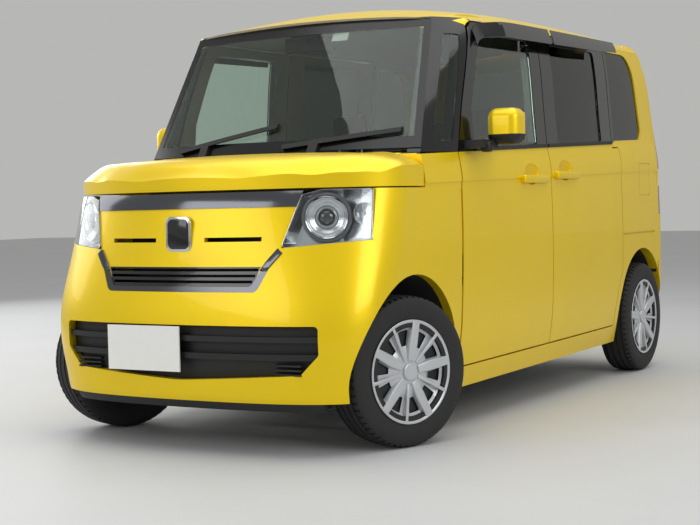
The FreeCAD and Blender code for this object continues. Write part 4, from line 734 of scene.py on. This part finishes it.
# A blade's rows are radius, half width and height
BROAD_BLADE = ((0.04, 0.017, 0.07), (0.1, 0.0235, 0.0735), (0.186, 0.0205, 0.0785))
NARROW_BLADE = ((0.044, 0.0085, 0.069), (0.11, 0.0075, 0.074), (0.186, 0.0085, 0.078))
BLADE_FOOT = 0.055
BLADE_COUNT = 5
BLADE_ROUND = (0.0035, 2)
BLADE_WIDTHS = {"foot": 1.1, "top": 0.8}
CAP_PROFILE = ((0.064, 0.0335), (0.071, 0.0315), (0.0725, 0.028), (0.0715, 0.024), (0.0722, 0.01),
               (0.0724, 0))
CAP_STEPS = 48
WHEEL_X, WHEEL_Z = 0.6525, 0.2785
# An axle is its place along the car, how it is steered at rest and how its wheels are turned
AXLES = {"front": (-1.1975, math.radians(-19.85), math.radians(9)), "rear": (1.3225, 0, math.radians(29))}
TREAD = [(-0.0697, 0.1724), (-0.0697, 0.186), (-0.0715, 0.19), (-0.0765, 0.206), (-0.0785, 0.225),
         (-0.078, 0.245), (-0.0755, 0.259), (-0.07, 0.27), (-0.064, 0.2748), (-0.051, 0.2772),
         (-0.05, 0.2712), (-0.044, 0.2712), (-0.043, 0.2777), (-0.021, 0.2783), (-0.02, 0.2718),
         (-0.013, 0.2718), (-0.012, 0.2784), (0, 0.2785)]
TREAD_STEPS = 180
SHOULDER, SHOULDER_RADIUS = (0.052, 0.073), 0.268
SIPE_EVERY, SIPE_DEPTH = 3, 0.0045
# Lacquered ABS has a fine even sparkle, stoved black is plain, and rubber drinks the light
wheel_silver = finish_of("silver lacquered ABS", "#C3C6CA", "#BDC0C4", 60, 2, 0.008, Metallic=0.35,
                         Roughness=0.32, Coat_Weight=0.4)
wheel_black = finish_of("black stoved steel wheel", "#101113", "#16171A", 40, 3, 0.05, Roughness=0.45)
rubber = finish_of("tyre rubber", "#1A1A1B", "#222223", 25, 1.5, 0.06, Roughness=0.72)


def step_of(centre, steps):
    """Which of so many equal steps about the axis a place lies in."""
    return int(math.atan2(centre.z, centre.y) % ROUND / ROUND * steps)


def is_vent(c, n):
    step = step_of(c, COVER_STEPS) % (COVER_STEPS // (2 * BLADE_COUNT))
    return within(math.hypot(c.y, c.z), VENT_RADII) and VENT_STEPS[0] <= step < VENT_STEPS[1]


def is_sipe(c, n):
    high = math.hypot(c.y, c.z) > SHOULDER_RADIUS
    return high and within(abs(c.x), SHOULDER) and (step_of(c, TREAD_STEPS) + int(c.x > 0)) % SIPE_EVERY == 0


def blade(profile, turn):
    """One raised blade of the cover: a tapered bar from the hub to the rim."""
    piece = block((BLADE_FOOT, profile[0][0], -1), (1, profile[-1][0], 1))
    cut_all(piece, [((0, profile[1][0], 0), (0, 1, 0))])
    for corner in piece.data.vertices:
        radius, half, top = min(profile, key=lambda row: abs(row[0] - corner.co.y))
        end, out = ("top", top) if corner.co.x > 0.5 else ("foot", BLADE_FOOT)
        corner.co = (out, radius, math.copysign(half * BLADE_WIDTHS[end], corner.co.z))
    rounded(piece, *BLADE_ROUND)
    piece.data.transform(Matrix.Rotation(turn, 4, "X"))
    return piece


cover = lathed(COVER_RINGS, (0, 0, 0), (1, 0, 0), COVER_STEPS)
bpy.data.objects.remove(split_off(cover, is_vent))
modified(cover, "SOLIDIFY", thickness=DISC_WALL, offset=-1)
rounded(cover, *DISC_ROUND)
parts = [cover, lathed(CAP_PROFILE, (0, 0, 0), (1, 0, 0), CAP_STEPS)]
for i in range(BLADE_COUNT):
    for rows, shift in ((BROAD_BLADE, 0), (NARROW_BLADE, 0.5)):
        parts.append(blade(rows, (i + shift) * ROUND / BLADE_COUNT))
choose(*parts)
bpy.ops.object.join()
cover = bpy.context.object
outline = TREAD + [(-u, r) for u, r in reversed(TREAD[:-1])] + [TREAD[0]]
tyre = lathed(outline, (0, 0, 0), (1, 0, 0), TREAD_STEPS)
with_faces(tyre, is_sipe)
bpy.ops.mesh.extrude_region_shrink_fatten(TRANSFORM_OT_shrink_fatten={"value": -SIPE_DEPTH})
creased(tyre)

for end, (y, steer, turn) in AXLES.items():
    for side, hand in SIDES:
        facing = steer + (math.pi if hand == "right" else 0)
        place = (Matrix.Translation((side * WHEEL_X, y, WHEEL_Z)) @ Matrix.Rotation(facing, 4, "Z")
                 @ Matrix.Rotation(turn, 4, "X"))
        node = end + "_" + hand
        dressed("wheel_" + node, wheel_black)
        for source, name, slot, material in ((cover, "wheel.cover.", "rim", wheel_silver),
                                             (tyre, "tyre.", "tyre", rubber)):
            piece = twin(source)
            piece.data.transform(place)
            fitted(piece, name + end + "." + hand, "wheel_" + node, slot, material)
            if name == "tyre.":
                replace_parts(piece, "tyre_" + node)
for source in (cover, tyre):
    bpy.data.objects.remove(source)


# Seats: two front seats and a bench, foam pads under a dark woven cover on moulded plinths. Each pad is blown
# up as cloth with its underside held, sewn down along two channels, and copied over to the car's left.
# A pad is its low corner, its high corner, its edges' radius and how much narrower its top is
SEAT_PADS = {"front.cushion": ((-0.54, -0.38, 0.424), (-0.12, 0.112, 0.588), 0.028, 1),
             "front.back": ((-0.54, 0.064, 0.58), (-0.12, 0.198, 1.148), 0.03, 0.86),
             "front.headrest": ((-0.442, 0.122, 1.166), (-0.218, 0.198, 1.336), 0.028, 0.92),
             "rear.cushion": ((-0.53, 0.622, 0.512), (-0.003, 1.06, 0.638), 0.028, 1),
             "rear.back": ((-0.53, 1.034, 0.63), (-0.003, 1.158, 1.178), 0.028, 0.94),
             "rear.headrest": ((-0.4, 1.072, 1.196), (-0.18, 1.138, 1.328), 0.024, 0.92)}
PLINTHS = (((0.19, -0.3, 0.2445), (0.47, 0.06, 0.44)), ((-0.47, -0.3, 0.2445), (-0.19, 0.06, 0.44)),
           ((-0.5, 0.66, 0.2445), (0.5, 0.9045, 0.53)))
PLINTH_ROUND = (0.012, 3)
PAD_SLIM = 0.012
PAD_CELL = 0.013
PAD_EDGE_STEPS = 4
PAD_PRESSURE = 4.0
PAD_FRAMES = 14
PAD_CAP = 0.014
PAD_HELD = 0.012
SEAM_SHARE = 0.56
SEAM_DEPTH = 0.006
SEAM_HALF = 0.011
POST_RADIUS, POST_FACETS = 0.006, 20
POST_APART = 0.062
POST_RUN = 0.05
# Woven cloth is matt with a soft bloom at its edges, the plinths grained, the posts polished
seat_cloth = finish_of("charcoal woven seat cloth", "#2B2A2B", "#201F20", 9, 1.4, 0.3, Roughness=0.95,
                       Sheen_Weight=0.35)
plinth_plastic = finish_of("grained charcoal plinth moulding", "#1C1C1E", "#222224", 40, 1.4, 0.12, Roughness=0.7)
post_steel = finish_of("polished headrest posts", "#A9ABAE", "#9A9DA0", 60, Metallic=1.0, Roughness=0.22)


def blown_up(pad, hold_z):
    """Blows a pad up as cloth, held below a height."""
    held = pad.vertex_groups.new(name="held")
    held.add([vertex.index for vertex in pad.data.vertices if vertex.co.z < hold_z], 1, "REPLACE")
    choose(pad)
    filling = pad.modifiers.new("filling", "CLOTH")
    filling.settings.use_pressure = True
    filling.settings.uniform_pressure_force = PAD_PRESSURE
    filling.settings.effector_weights.gravity = 0
    filling.settings.vertex_group_mass = "held"
    for moment in range(1, PAD_FRAMES + 1):
        bpy.context.scene.frame_set(moment)
    bpy.ops.object.modifier_apply(modifier="filling")
    bpy.context.scene.frame_set(1)


def sewn_pad(low, high, radius, taper):
    """A pad that starts slimmer than its room, is narrowed to its top, remeshed, blown up and sewn."""
    pad = block([v + PAD_SLIM for v in low], [v - PAD_SLIM for v in high])
    middle = (Vector(low) + Vector(high)) / 2
    for vertex in pad.data.vertices:
        if vertex.co.z > middle.z:
            vertex.co.x = middle.x + (vertex.co.x - middle.x) * taper
    rounded(pad, radius, PAD_EDGE_STEPS)
    modified(pad, "REMESH", mode="VOXEL", voxel_size=PAD_CELL)
    start = [vertex.co.copy() for vertex in pad.data.vertices]
    blown_up(pad, low[2] + PAD_SLIM + PAD_HELD)
    upright = high[2] - low[2] > high[1] - low[1]
    half = (high[0] - low[0]) / 2
    for vertex, spot in zip(pad.data.vertices, start):
        move = vertex.co - spot
        if move.length > PAD_CAP:
            vertex.co = spot + move * (PAD_CAP / move.length)
        off = abs(abs(vertex.co.x - middle.x) - half * SEAM_SHARE) / SEAM_HALF
        if upright and spot.y < middle.y:
            vertex.co.y += SEAM_DEPTH * math.exp(-off * off)
        elif not upright and spot.z > middle.z:
            vertex.co.z -= SEAM_DEPTH * math.exp(-off * off)
    modified(pad, "SUBSURF", levels=1, render_levels=1)
    choose(pad)
    bpy.ops.object.shade_smooth()
    return pad


for name, (low, high, radius, taper) in SEAT_PADS.items():
    pad = sewn_pad(low, high, radius, taper)
    for piece, hand in ((pad, "right"), (across(pad), "left")):
        fitted(piece, name + "." + hand, "body", "seat_cloth", seat_cloth)
    if not name.endswith("headrest"):
        continue
    for side, hand in SIDES:
        for apart in (-POST_APART, POST_APART):
            choose()
            bpy.ops.mesh.primitive_cylinder_add(
                vertices=POST_FACETS, radius=POST_RADIUS, depth=POST_RUN,
                location=(side * (low[0] + high[0]) / 2 + apart, (low[1] + high[1]) / 2, low[2]))
            post = bpy.context.object
            bpy.ops.object.transform_apply()
            creased(post)
            place = ".inner" if apart * side < 0 else ".outer"
            fitted(post, name + ".post." + hand + place, "body", "steel", post_steel)
plinths = [rounded(block(low, high), *PLINTH_ROUND) for low, high in PLINTHS]
choose(*plinths)
bpy.ops.object.join()
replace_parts(fitted(bpy.context.object, "seat.plinths", "body", "seat_cloth", plinth_plastic), "seats")


# Dashboard: a padded black top over a pale lower half, with a hooded binnacle, a centre display and four
# louvred outlets, and a steering wheel with a stitched black rim and a bare airbag pad.
DASH_SPLIT_Z = 0.935
DASH_FACE_Y = -0.7
BINNACLE = ((-0.5, -0.82, 1.04), (-0.19, -0.688, 1.118), (0.024, 5))
DISPLAY = ((-0.12, -0.702, 0.955), (0.12, -0.683, 1.085), (0.006, 4))
OUTLETS = {"a": (-0.56, 1.000), "b": (-0.165, 1.000), "c": (0.165, 1.000), "d": (0.56, 1.000)}
OUTLET_HALF = (0.042, 0.01, 0.028)
OUTLET_FACE_Y = -0.6895
OUTLET_LIP, OUTLET_DEPTH = 0.005, 0.014
OUTLET_ROUND = (0.001, 2)
REAR_TURN = 0.5
VANE_LIFTS = (-0.012, 0, 0.012)
VANE_HALF = (0.038, 0.006, 0.0022)
WHEEL_HUB = Vector((-0.34, -0.5393, 0.975))
WHEEL_AXIS = Vector((0, 0.225, 0.082))
AIRBAG_PROFILE = ((-0.014, 0), (-0.014, 0.07), (0.006, 0.08), (0.02, 0.066), (0.027, 0.03), (0.028, 0))
AIRBAG_STEPS = 40
# Soft skin, grained moulding and leather are all matt; only the display has the shine of glass
dash_skin = finish_of("soft black dashboard skin", "#18181A", "#131315", 35, 1.6, 0.15, Roughness=0.75)
pale_dash = finish_of("grained ivory lower dashboard", "#A8A192", "#9E9788", 70, 1.4, 0.1, Roughness=0.7)
screen_glass = finish_of("dark display glass", "#050607", "#08090B", 80, Roughness=0.08, Coat_Weight=0.6)
rim_leather = finish_of("stitched black rim leather", "#161617", "#1E1D1D", 12, 1.2, 0.2, Roughness=0.6)
dressed("dashboard", dash_skin, pale_dash, pick=lambda c, n: int(c.z < DASH_SPLIT_Z and c.y > DASH_FACE_Y))
dressed("steering_wheel", rim_leather)


moulded("binnacle.hood", "body", "black_plastic", dash_skin, *BINNACLE)
moulded("centre.display", "body", "gloss_black", screen_glass, *DISPLAY)
for letter, (x, z) in OUTLETS.items():
    outlet = around((x, OUTLET_FACE_Y, z), OUTLET_HALF)
    with_faces(outlet, lambda c, n: n.y > REAR_TURN)
    bpy.ops.mesh.inset(thickness=OUTLET_LIP)
    bpy.ops.mesh.extrude_region_move(TRANSFORM_OT_translate={"value": (0, -OUTLET_DEPTH, 0)})
    vanes = [around((x, OUTLET_FACE_Y, z + lift), VANE_HALF) for lift in VANE_LIFTS]
    choose(outlet, *vanes)
    bpy.ops.object.join()
    fitted(rounded(outlet, *OUTLET_ROUND), "air.outlet." + letter, "body", "black_plastic", plinth_plastic)
fitted(lathed(AIRBAG_PROFILE, WHEEL_HUB, WHEEL_AXIS, AIRBAG_STEPS), "airbag.pad", "steering_wheel",
       "black_plastic", dash_skin)


# Windscreen fittings: an inside mirror on an arm, a sensor box and a bare inspection label, all stuck to the
# glass. Their places are found by rays to the glass, so that they follow its slope.
MIRROR_Z = 1.566
MIRROR_BACK = 0.085
MIRROR_HALF, MIRROR_ROUND = (0.125, 0.012, 0.033), (0.011, 4)
MIRROR_FACE_TURN = 0.99
ARM_RADIUS, ARM_FACETS = 0.007, 24
ARM_ABOVE, ARM_OFF = 0.035, 0.001
SENSOR_LOW, SENSOR_HIGH = (-0.06, 1.585), (0.06, 1.64)
SENSOR_DEEP, SENSOR_ROUND = 0.055, (0.008, 3)
SENSOR_OFF, SENSOR_PAD = 0.003, 0.002
LABEL_X, LABEL_Z, LABEL_LIFT, LABEL_WALL = (0.15, 0.222), (1.56, 1.612), 0.004, 0.0004
BEHIND_Y = 3
# Coated paper, left bare, is flat and white
label_paper = finish_of("bare white label", "#E9E9E6", "#E0E0DC", 30, Roughness=0.5)


def rear_y(piece, x, z):
    """The rearmost face of a piece at a place across and up, by a ray from behind."""
    hit, spot, turn, index = piece.ray_cast(Vector((x, BEHIND_Y, z)), Vector((0, -1, 0)))
    if not hit:
        raise ValueError("no face of " + piece.name + " is met")
    return spot.y


mirror_at = Vector((0, rear_y(screen, 0, MIRROR_Z) + MIRROR_BACK, MIRROR_Z))
inside_mirror = rounded(around(mirror_at, MIRROR_HALF), *MIRROR_ROUND)
mirror_faces = [face.index for face in inside_mirror.data.polygons if face.normal.y > MIRROR_FACE_TURN]
fitted(inside_mirror, "inside.mirror", "body", "black_plastic", plinth_plastic, mirror_silver)
for index in mirror_faces:
    inside_mirror.data.polygons[index].material_index = 1
arm_from = Vector((0, rear_y(screen, 0, MIRROR_Z + ARM_ABOVE) + ARM_OFF, MIRROR_Z + ARM_ABOVE))
arm_run = mirror_at - arm_from
arm_shape = ((0, 0), (0, ARM_RADIUS * 2), (ARM_RADIUS, ARM_RADIUS * 2), (ARM_RADIUS * 2, ARM_RADIUS),
             (arm_run.length, ARM_RADIUS), (arm_run.length, 0))
fitted(lathed(arm_shape, arm_from, arm_run, ARM_FACETS), "inside.mirror.arm", "body",
       "black_plastic", plinth_plastic)
sensor_y = rear_y(screen, 0, SENSOR_LOW[1]) + SENSOR_OFF
sensor = block((SENSOR_LOW[0], sensor_y, SENSOR_LOW[1]),
               (SENSOR_HIGH[0], sensor_y + SENSOR_DEEP, SENSOR_HIGH[1]))
for vertex in sensor.data.vertices:
    if vertex.co.y < rear_y(screen, 0, vertex.co.z) + SENSOR_DEEP / 2:
        vertex.co.y = rear_y(screen, 0, vertex.co.z) + SENSOR_PAD
fitted(rounded(sensor, *SENSOR_ROUND), "sensor.box", "body", "black_plastic", plinth_plastic)
choose()
bpy.ops.mesh.primitive_plane_add(size=1)
label = bpy.context.object
for vertex, (x, z) in zip(label.data.vertices, [(x, z) for z in LABEL_Z for x in LABEL_X]):
    vertex.co = (x, rear_y(screen, x, z) + LABEL_LIFT, z)
modified(label, "SOLIDIFY", thickness=LABEL_WALL, offset=0)
fitted(label, "bare.label", "body", "plate", label_paper)


# Tailgate and side fittings: a rear wiper on its capped spindle, a high stop lamp, a painted handle bar with
# two plate lamps under it, red reflectors in the rear bumper and a small kerb mirror under the left mirror.
WIPER_PIVOT = (0, 1.222)
WIPER_TIP = (0.33, 1.252)
WIPER_CAP = ((0, 0), (0, 0.021), (0.016, 0.021), (0.022, 0.016), (0.024, 0))
CAP_AXIS, CAP_FACETS, CAP_DROP = Vector((0, 1, 0.1)), 32, 0.04
ARM_SHARE = 0.55
ARM_LIFTS = (0.012, 0.018)
ARM_HALVES, ARM_HALF_WALL, ARM_ROUND = (0.01, 0.006), 0.004, (0.0022, 3)
BLADE_START_X = 0.045
BLADE_LIFTS = (0.0008, 0.0105)
BLADE_HALF_HEIGHT, WIPER_ROUND = 0.006, (0.0018, 3)
# Half width, lower and upper edge, how far proud of the tailgate, and the rounding
STOP_LAMP = (0.12, 1.64, 1.658, 0.0035, (0.0025, 3))
HANDLE = (0.25, 0.842, 0.878, 0.01, (0.0055, 4))
BAR_SUNK = 0.006
# The corners of a plate lamp from the handle's foot, and its rounding
PLATE_LAMP = ((0.082, 0.001, -0.004), (0.118, 0.008, 0.002), (0.0012, 2))
REFLECTOR_X, REFLECTOR_Z = (0.56, 0.64), (0.325, 0.35)
REFLECTOR_PROUD, REFLECTOR_ROUND = 0.004, (0.003, 3)
KERB_MIRROR = ((0.768, -0.705, 1.088), (0.812, -0.66, 1.128), (0.012, 4))


def along_wiper(share):
    """A place (x, z) on the line from the wiper's pivot to its tip."""
    return WIPER_TIP[0] * share, WIPER_PIVOT[1] + (WIPER_TIP[1] - WIPER_PIVOT[1]) * share


def bar_on_hatch(title, slot, material, half_x, low_z, high_z, proud, edge):
    """A bar on the tailgate. Gives how far back the tailgate lies there."""
    y = rear_y(hatch, 0, (low_z + high_z) / 2)
    moulded(title, "tailgate", slot, material, (-half_x, y - BAR_SUNK, low_z), (half_x, y + proud, high_z), edge)
    return y


hatch = skins["tailgate"]
cap_z = WIPER_PIVOT[1] - CAP_DROP
spindle = Vector((WIPER_PIVOT[0], rear_y(hatch, 0, cap_z), cap_z))
fitted(lathed(WIPER_CAP, spindle, CAP_AXIS, CAP_FACETS), "rear.wiper.cap", "tailgate",
       "black_plastic", black_moulding)
pivot_y, tip_y = (rear_y(hatch_glass, x, z) for x, z in (WIPER_PIVOT, WIPER_TIP))
arm_x, arm_z = along_wiper(ARM_SHARE)
ends = (spindle + Vector((0, ARM_LIFTS[0], 0)),
        Vector((arm_x, pivot_y + (tip_y - pivot_y) * ARM_SHARE + ARM_LIFTS[1], arm_z)))
arm = block((-0.5, -0.5, -0.5), (0.5, 0.5, 0.5))
for vertex in arm.data.vertices:
    end = int(vertex.co.x > 0)
    vertex.co = ends[end] + Vector((0, math.copysign(ARM_HALF_WALL, vertex.co.y),
                                    math.copysign(ARM_HALVES[end], vertex.co.z)))
fitted(rounded(arm, *ARM_ROUND), "rear.wiper.arm", "tailgate", "black_plastic", black_moulding)
wiper = block((-0.5, -0.5, -0.5), (0.5, 0.5, 0.5))
for vertex in wiper.data.vertices:
    x, z = along_wiper(1 if vertex.co.x > 0 else BLADE_START_X / WIPER_TIP[0])
    y = rear_y(hatch_glass, x, z) + BLADE_LIFTS[int(vertex.co.y > 0)]
    vertex.co = (x, y, z + math.copysign(BLADE_HALF_HEIGHT, vertex.co.z))
fitted(rounded(wiper, *WIPER_ROUND), "rear.wiper.blade", "tailgate", "black_plastic", rubber_trim)
bar_on_hatch("high.stop.lamp", "red_lens", red_lens, *STOP_LAMP)
handle_y = bar_on_hatch("tailgate.handle", "paint", paint, *HANDLE)
for side, hand in SIDES:
    low, high = [(side * x, handle_y + y, HANDLE[1] + z) for x, y, z in PLATE_LAMP[:2]]
    moulded("plate.lamp." + hand, "tailgate", "lamp_glass", clear_lens, low, high, PLATE_LAMP[2])
    face_y = min(rear_y(skins["rear_bumper"], side * x, sum(REFLECTOR_Z) / 2) for x in REFLECTOR_X)
    moulded("rear.reflector." + hand, "body", "red_lens", red_lens,
            (side * REFLECTOR_X[0], face_y - BAR_SUNK, REFLECTOR_Z[0]),
            (side * REFLECTOR_X[1], face_y + REFLECTOR_PROUD, REFLECTOR_Z[1]), REFLECTOR_ROUND)
moulded("kerb.mirror", "front_door_left", "black_plastic", black_moulding, *KERB_MIRROR)


# Studio: a pale painted floor under five soft panel lamps, four round the car and one over it, in a plain
# pale room. The camera stands where the photograph was taken.
CAMERA_AT = (3.17483, -5.77021, 0.89686)
CAMERA_YAW = 0.536104
CAMERA_PITCH = 0.041292
CAMERA_ROLL = -0.023796
CAMERA_LENS = 73.01
FLOOR_SIZE = 60.0
ROOM_COLOUR, ROOM_STRENGTH = "#EFEFEC", 0.55
LAMP_TARGET = Vector((0, 0, 0.8))
# Each panel: its place, its width and height, and its power in watts
PANELS = {"ceiling panel": ((0.5, -0.5, 5.5), (7, 7), 240),
          "left panel": ((6.5, -2.5, 3.2), (4, 3), 120),
          "front panel": ((-2, -7, 2.8), (4, 2.5), 75), "rear panel": ((-7, 3.5, 3), (4, 3), 110),
          "right panel": ((-6.5, -1, 3), (4, 3), 80)}
# Painted concrete is even and nearly matt
pale = finish_of("pale floor", "#C9CACB", "#BFC1C2", 900, Roughness=0.6)
choose()
bpy.ops.mesh.primitive_plane_add(size=FLOOR_SIZE)
floor = bpy.context.object
floor.name = "studio floor"
floor.data.materials.append(pale)

bpy.ops.object.camera_add()
camera = bpy.context.object
camera.name = "photo camera"
camera.data.lens = CAMERA_LENS
camera.matrix_world = (Matrix.Translation(CAMERA_AT) @ Matrix.Rotation(CAMERA_YAW, 4, "Z")
                       @ Matrix.Rotation(math.pi / 2 - CAMERA_PITCH, 4, "X") @ Matrix.Rotation(CAMERA_ROLL, 4, "Z"))
bpy.context.scene.camera = camera

for name, (place, size, power) in PANELS.items():
    aim = (LAMP_TARGET - Vector(place)).to_track_quat("-Z", "Y").to_euler()
    bpy.ops.object.light_add(type="AREA", location=place, rotation=aim)
    panel = bpy.context.object
    panel.name = name
    panel.data.shape = "RECTANGLE"
    panel.data.size, panel.data.size_y = size
    panel.data.energy = power

world = bpy.data.worlds.new("studio air")
bpy.context.scene.world = world
world.use_nodes = True
air = world.node_tree.nodes["Background"]
air.inputs["Color"].default_value = linear(ROOM_COLOUR)
air.inputs["Strength"].default_value = ROOM_STRENGTH
bpy.context.scene.view_settings.view_transform = "Standard"
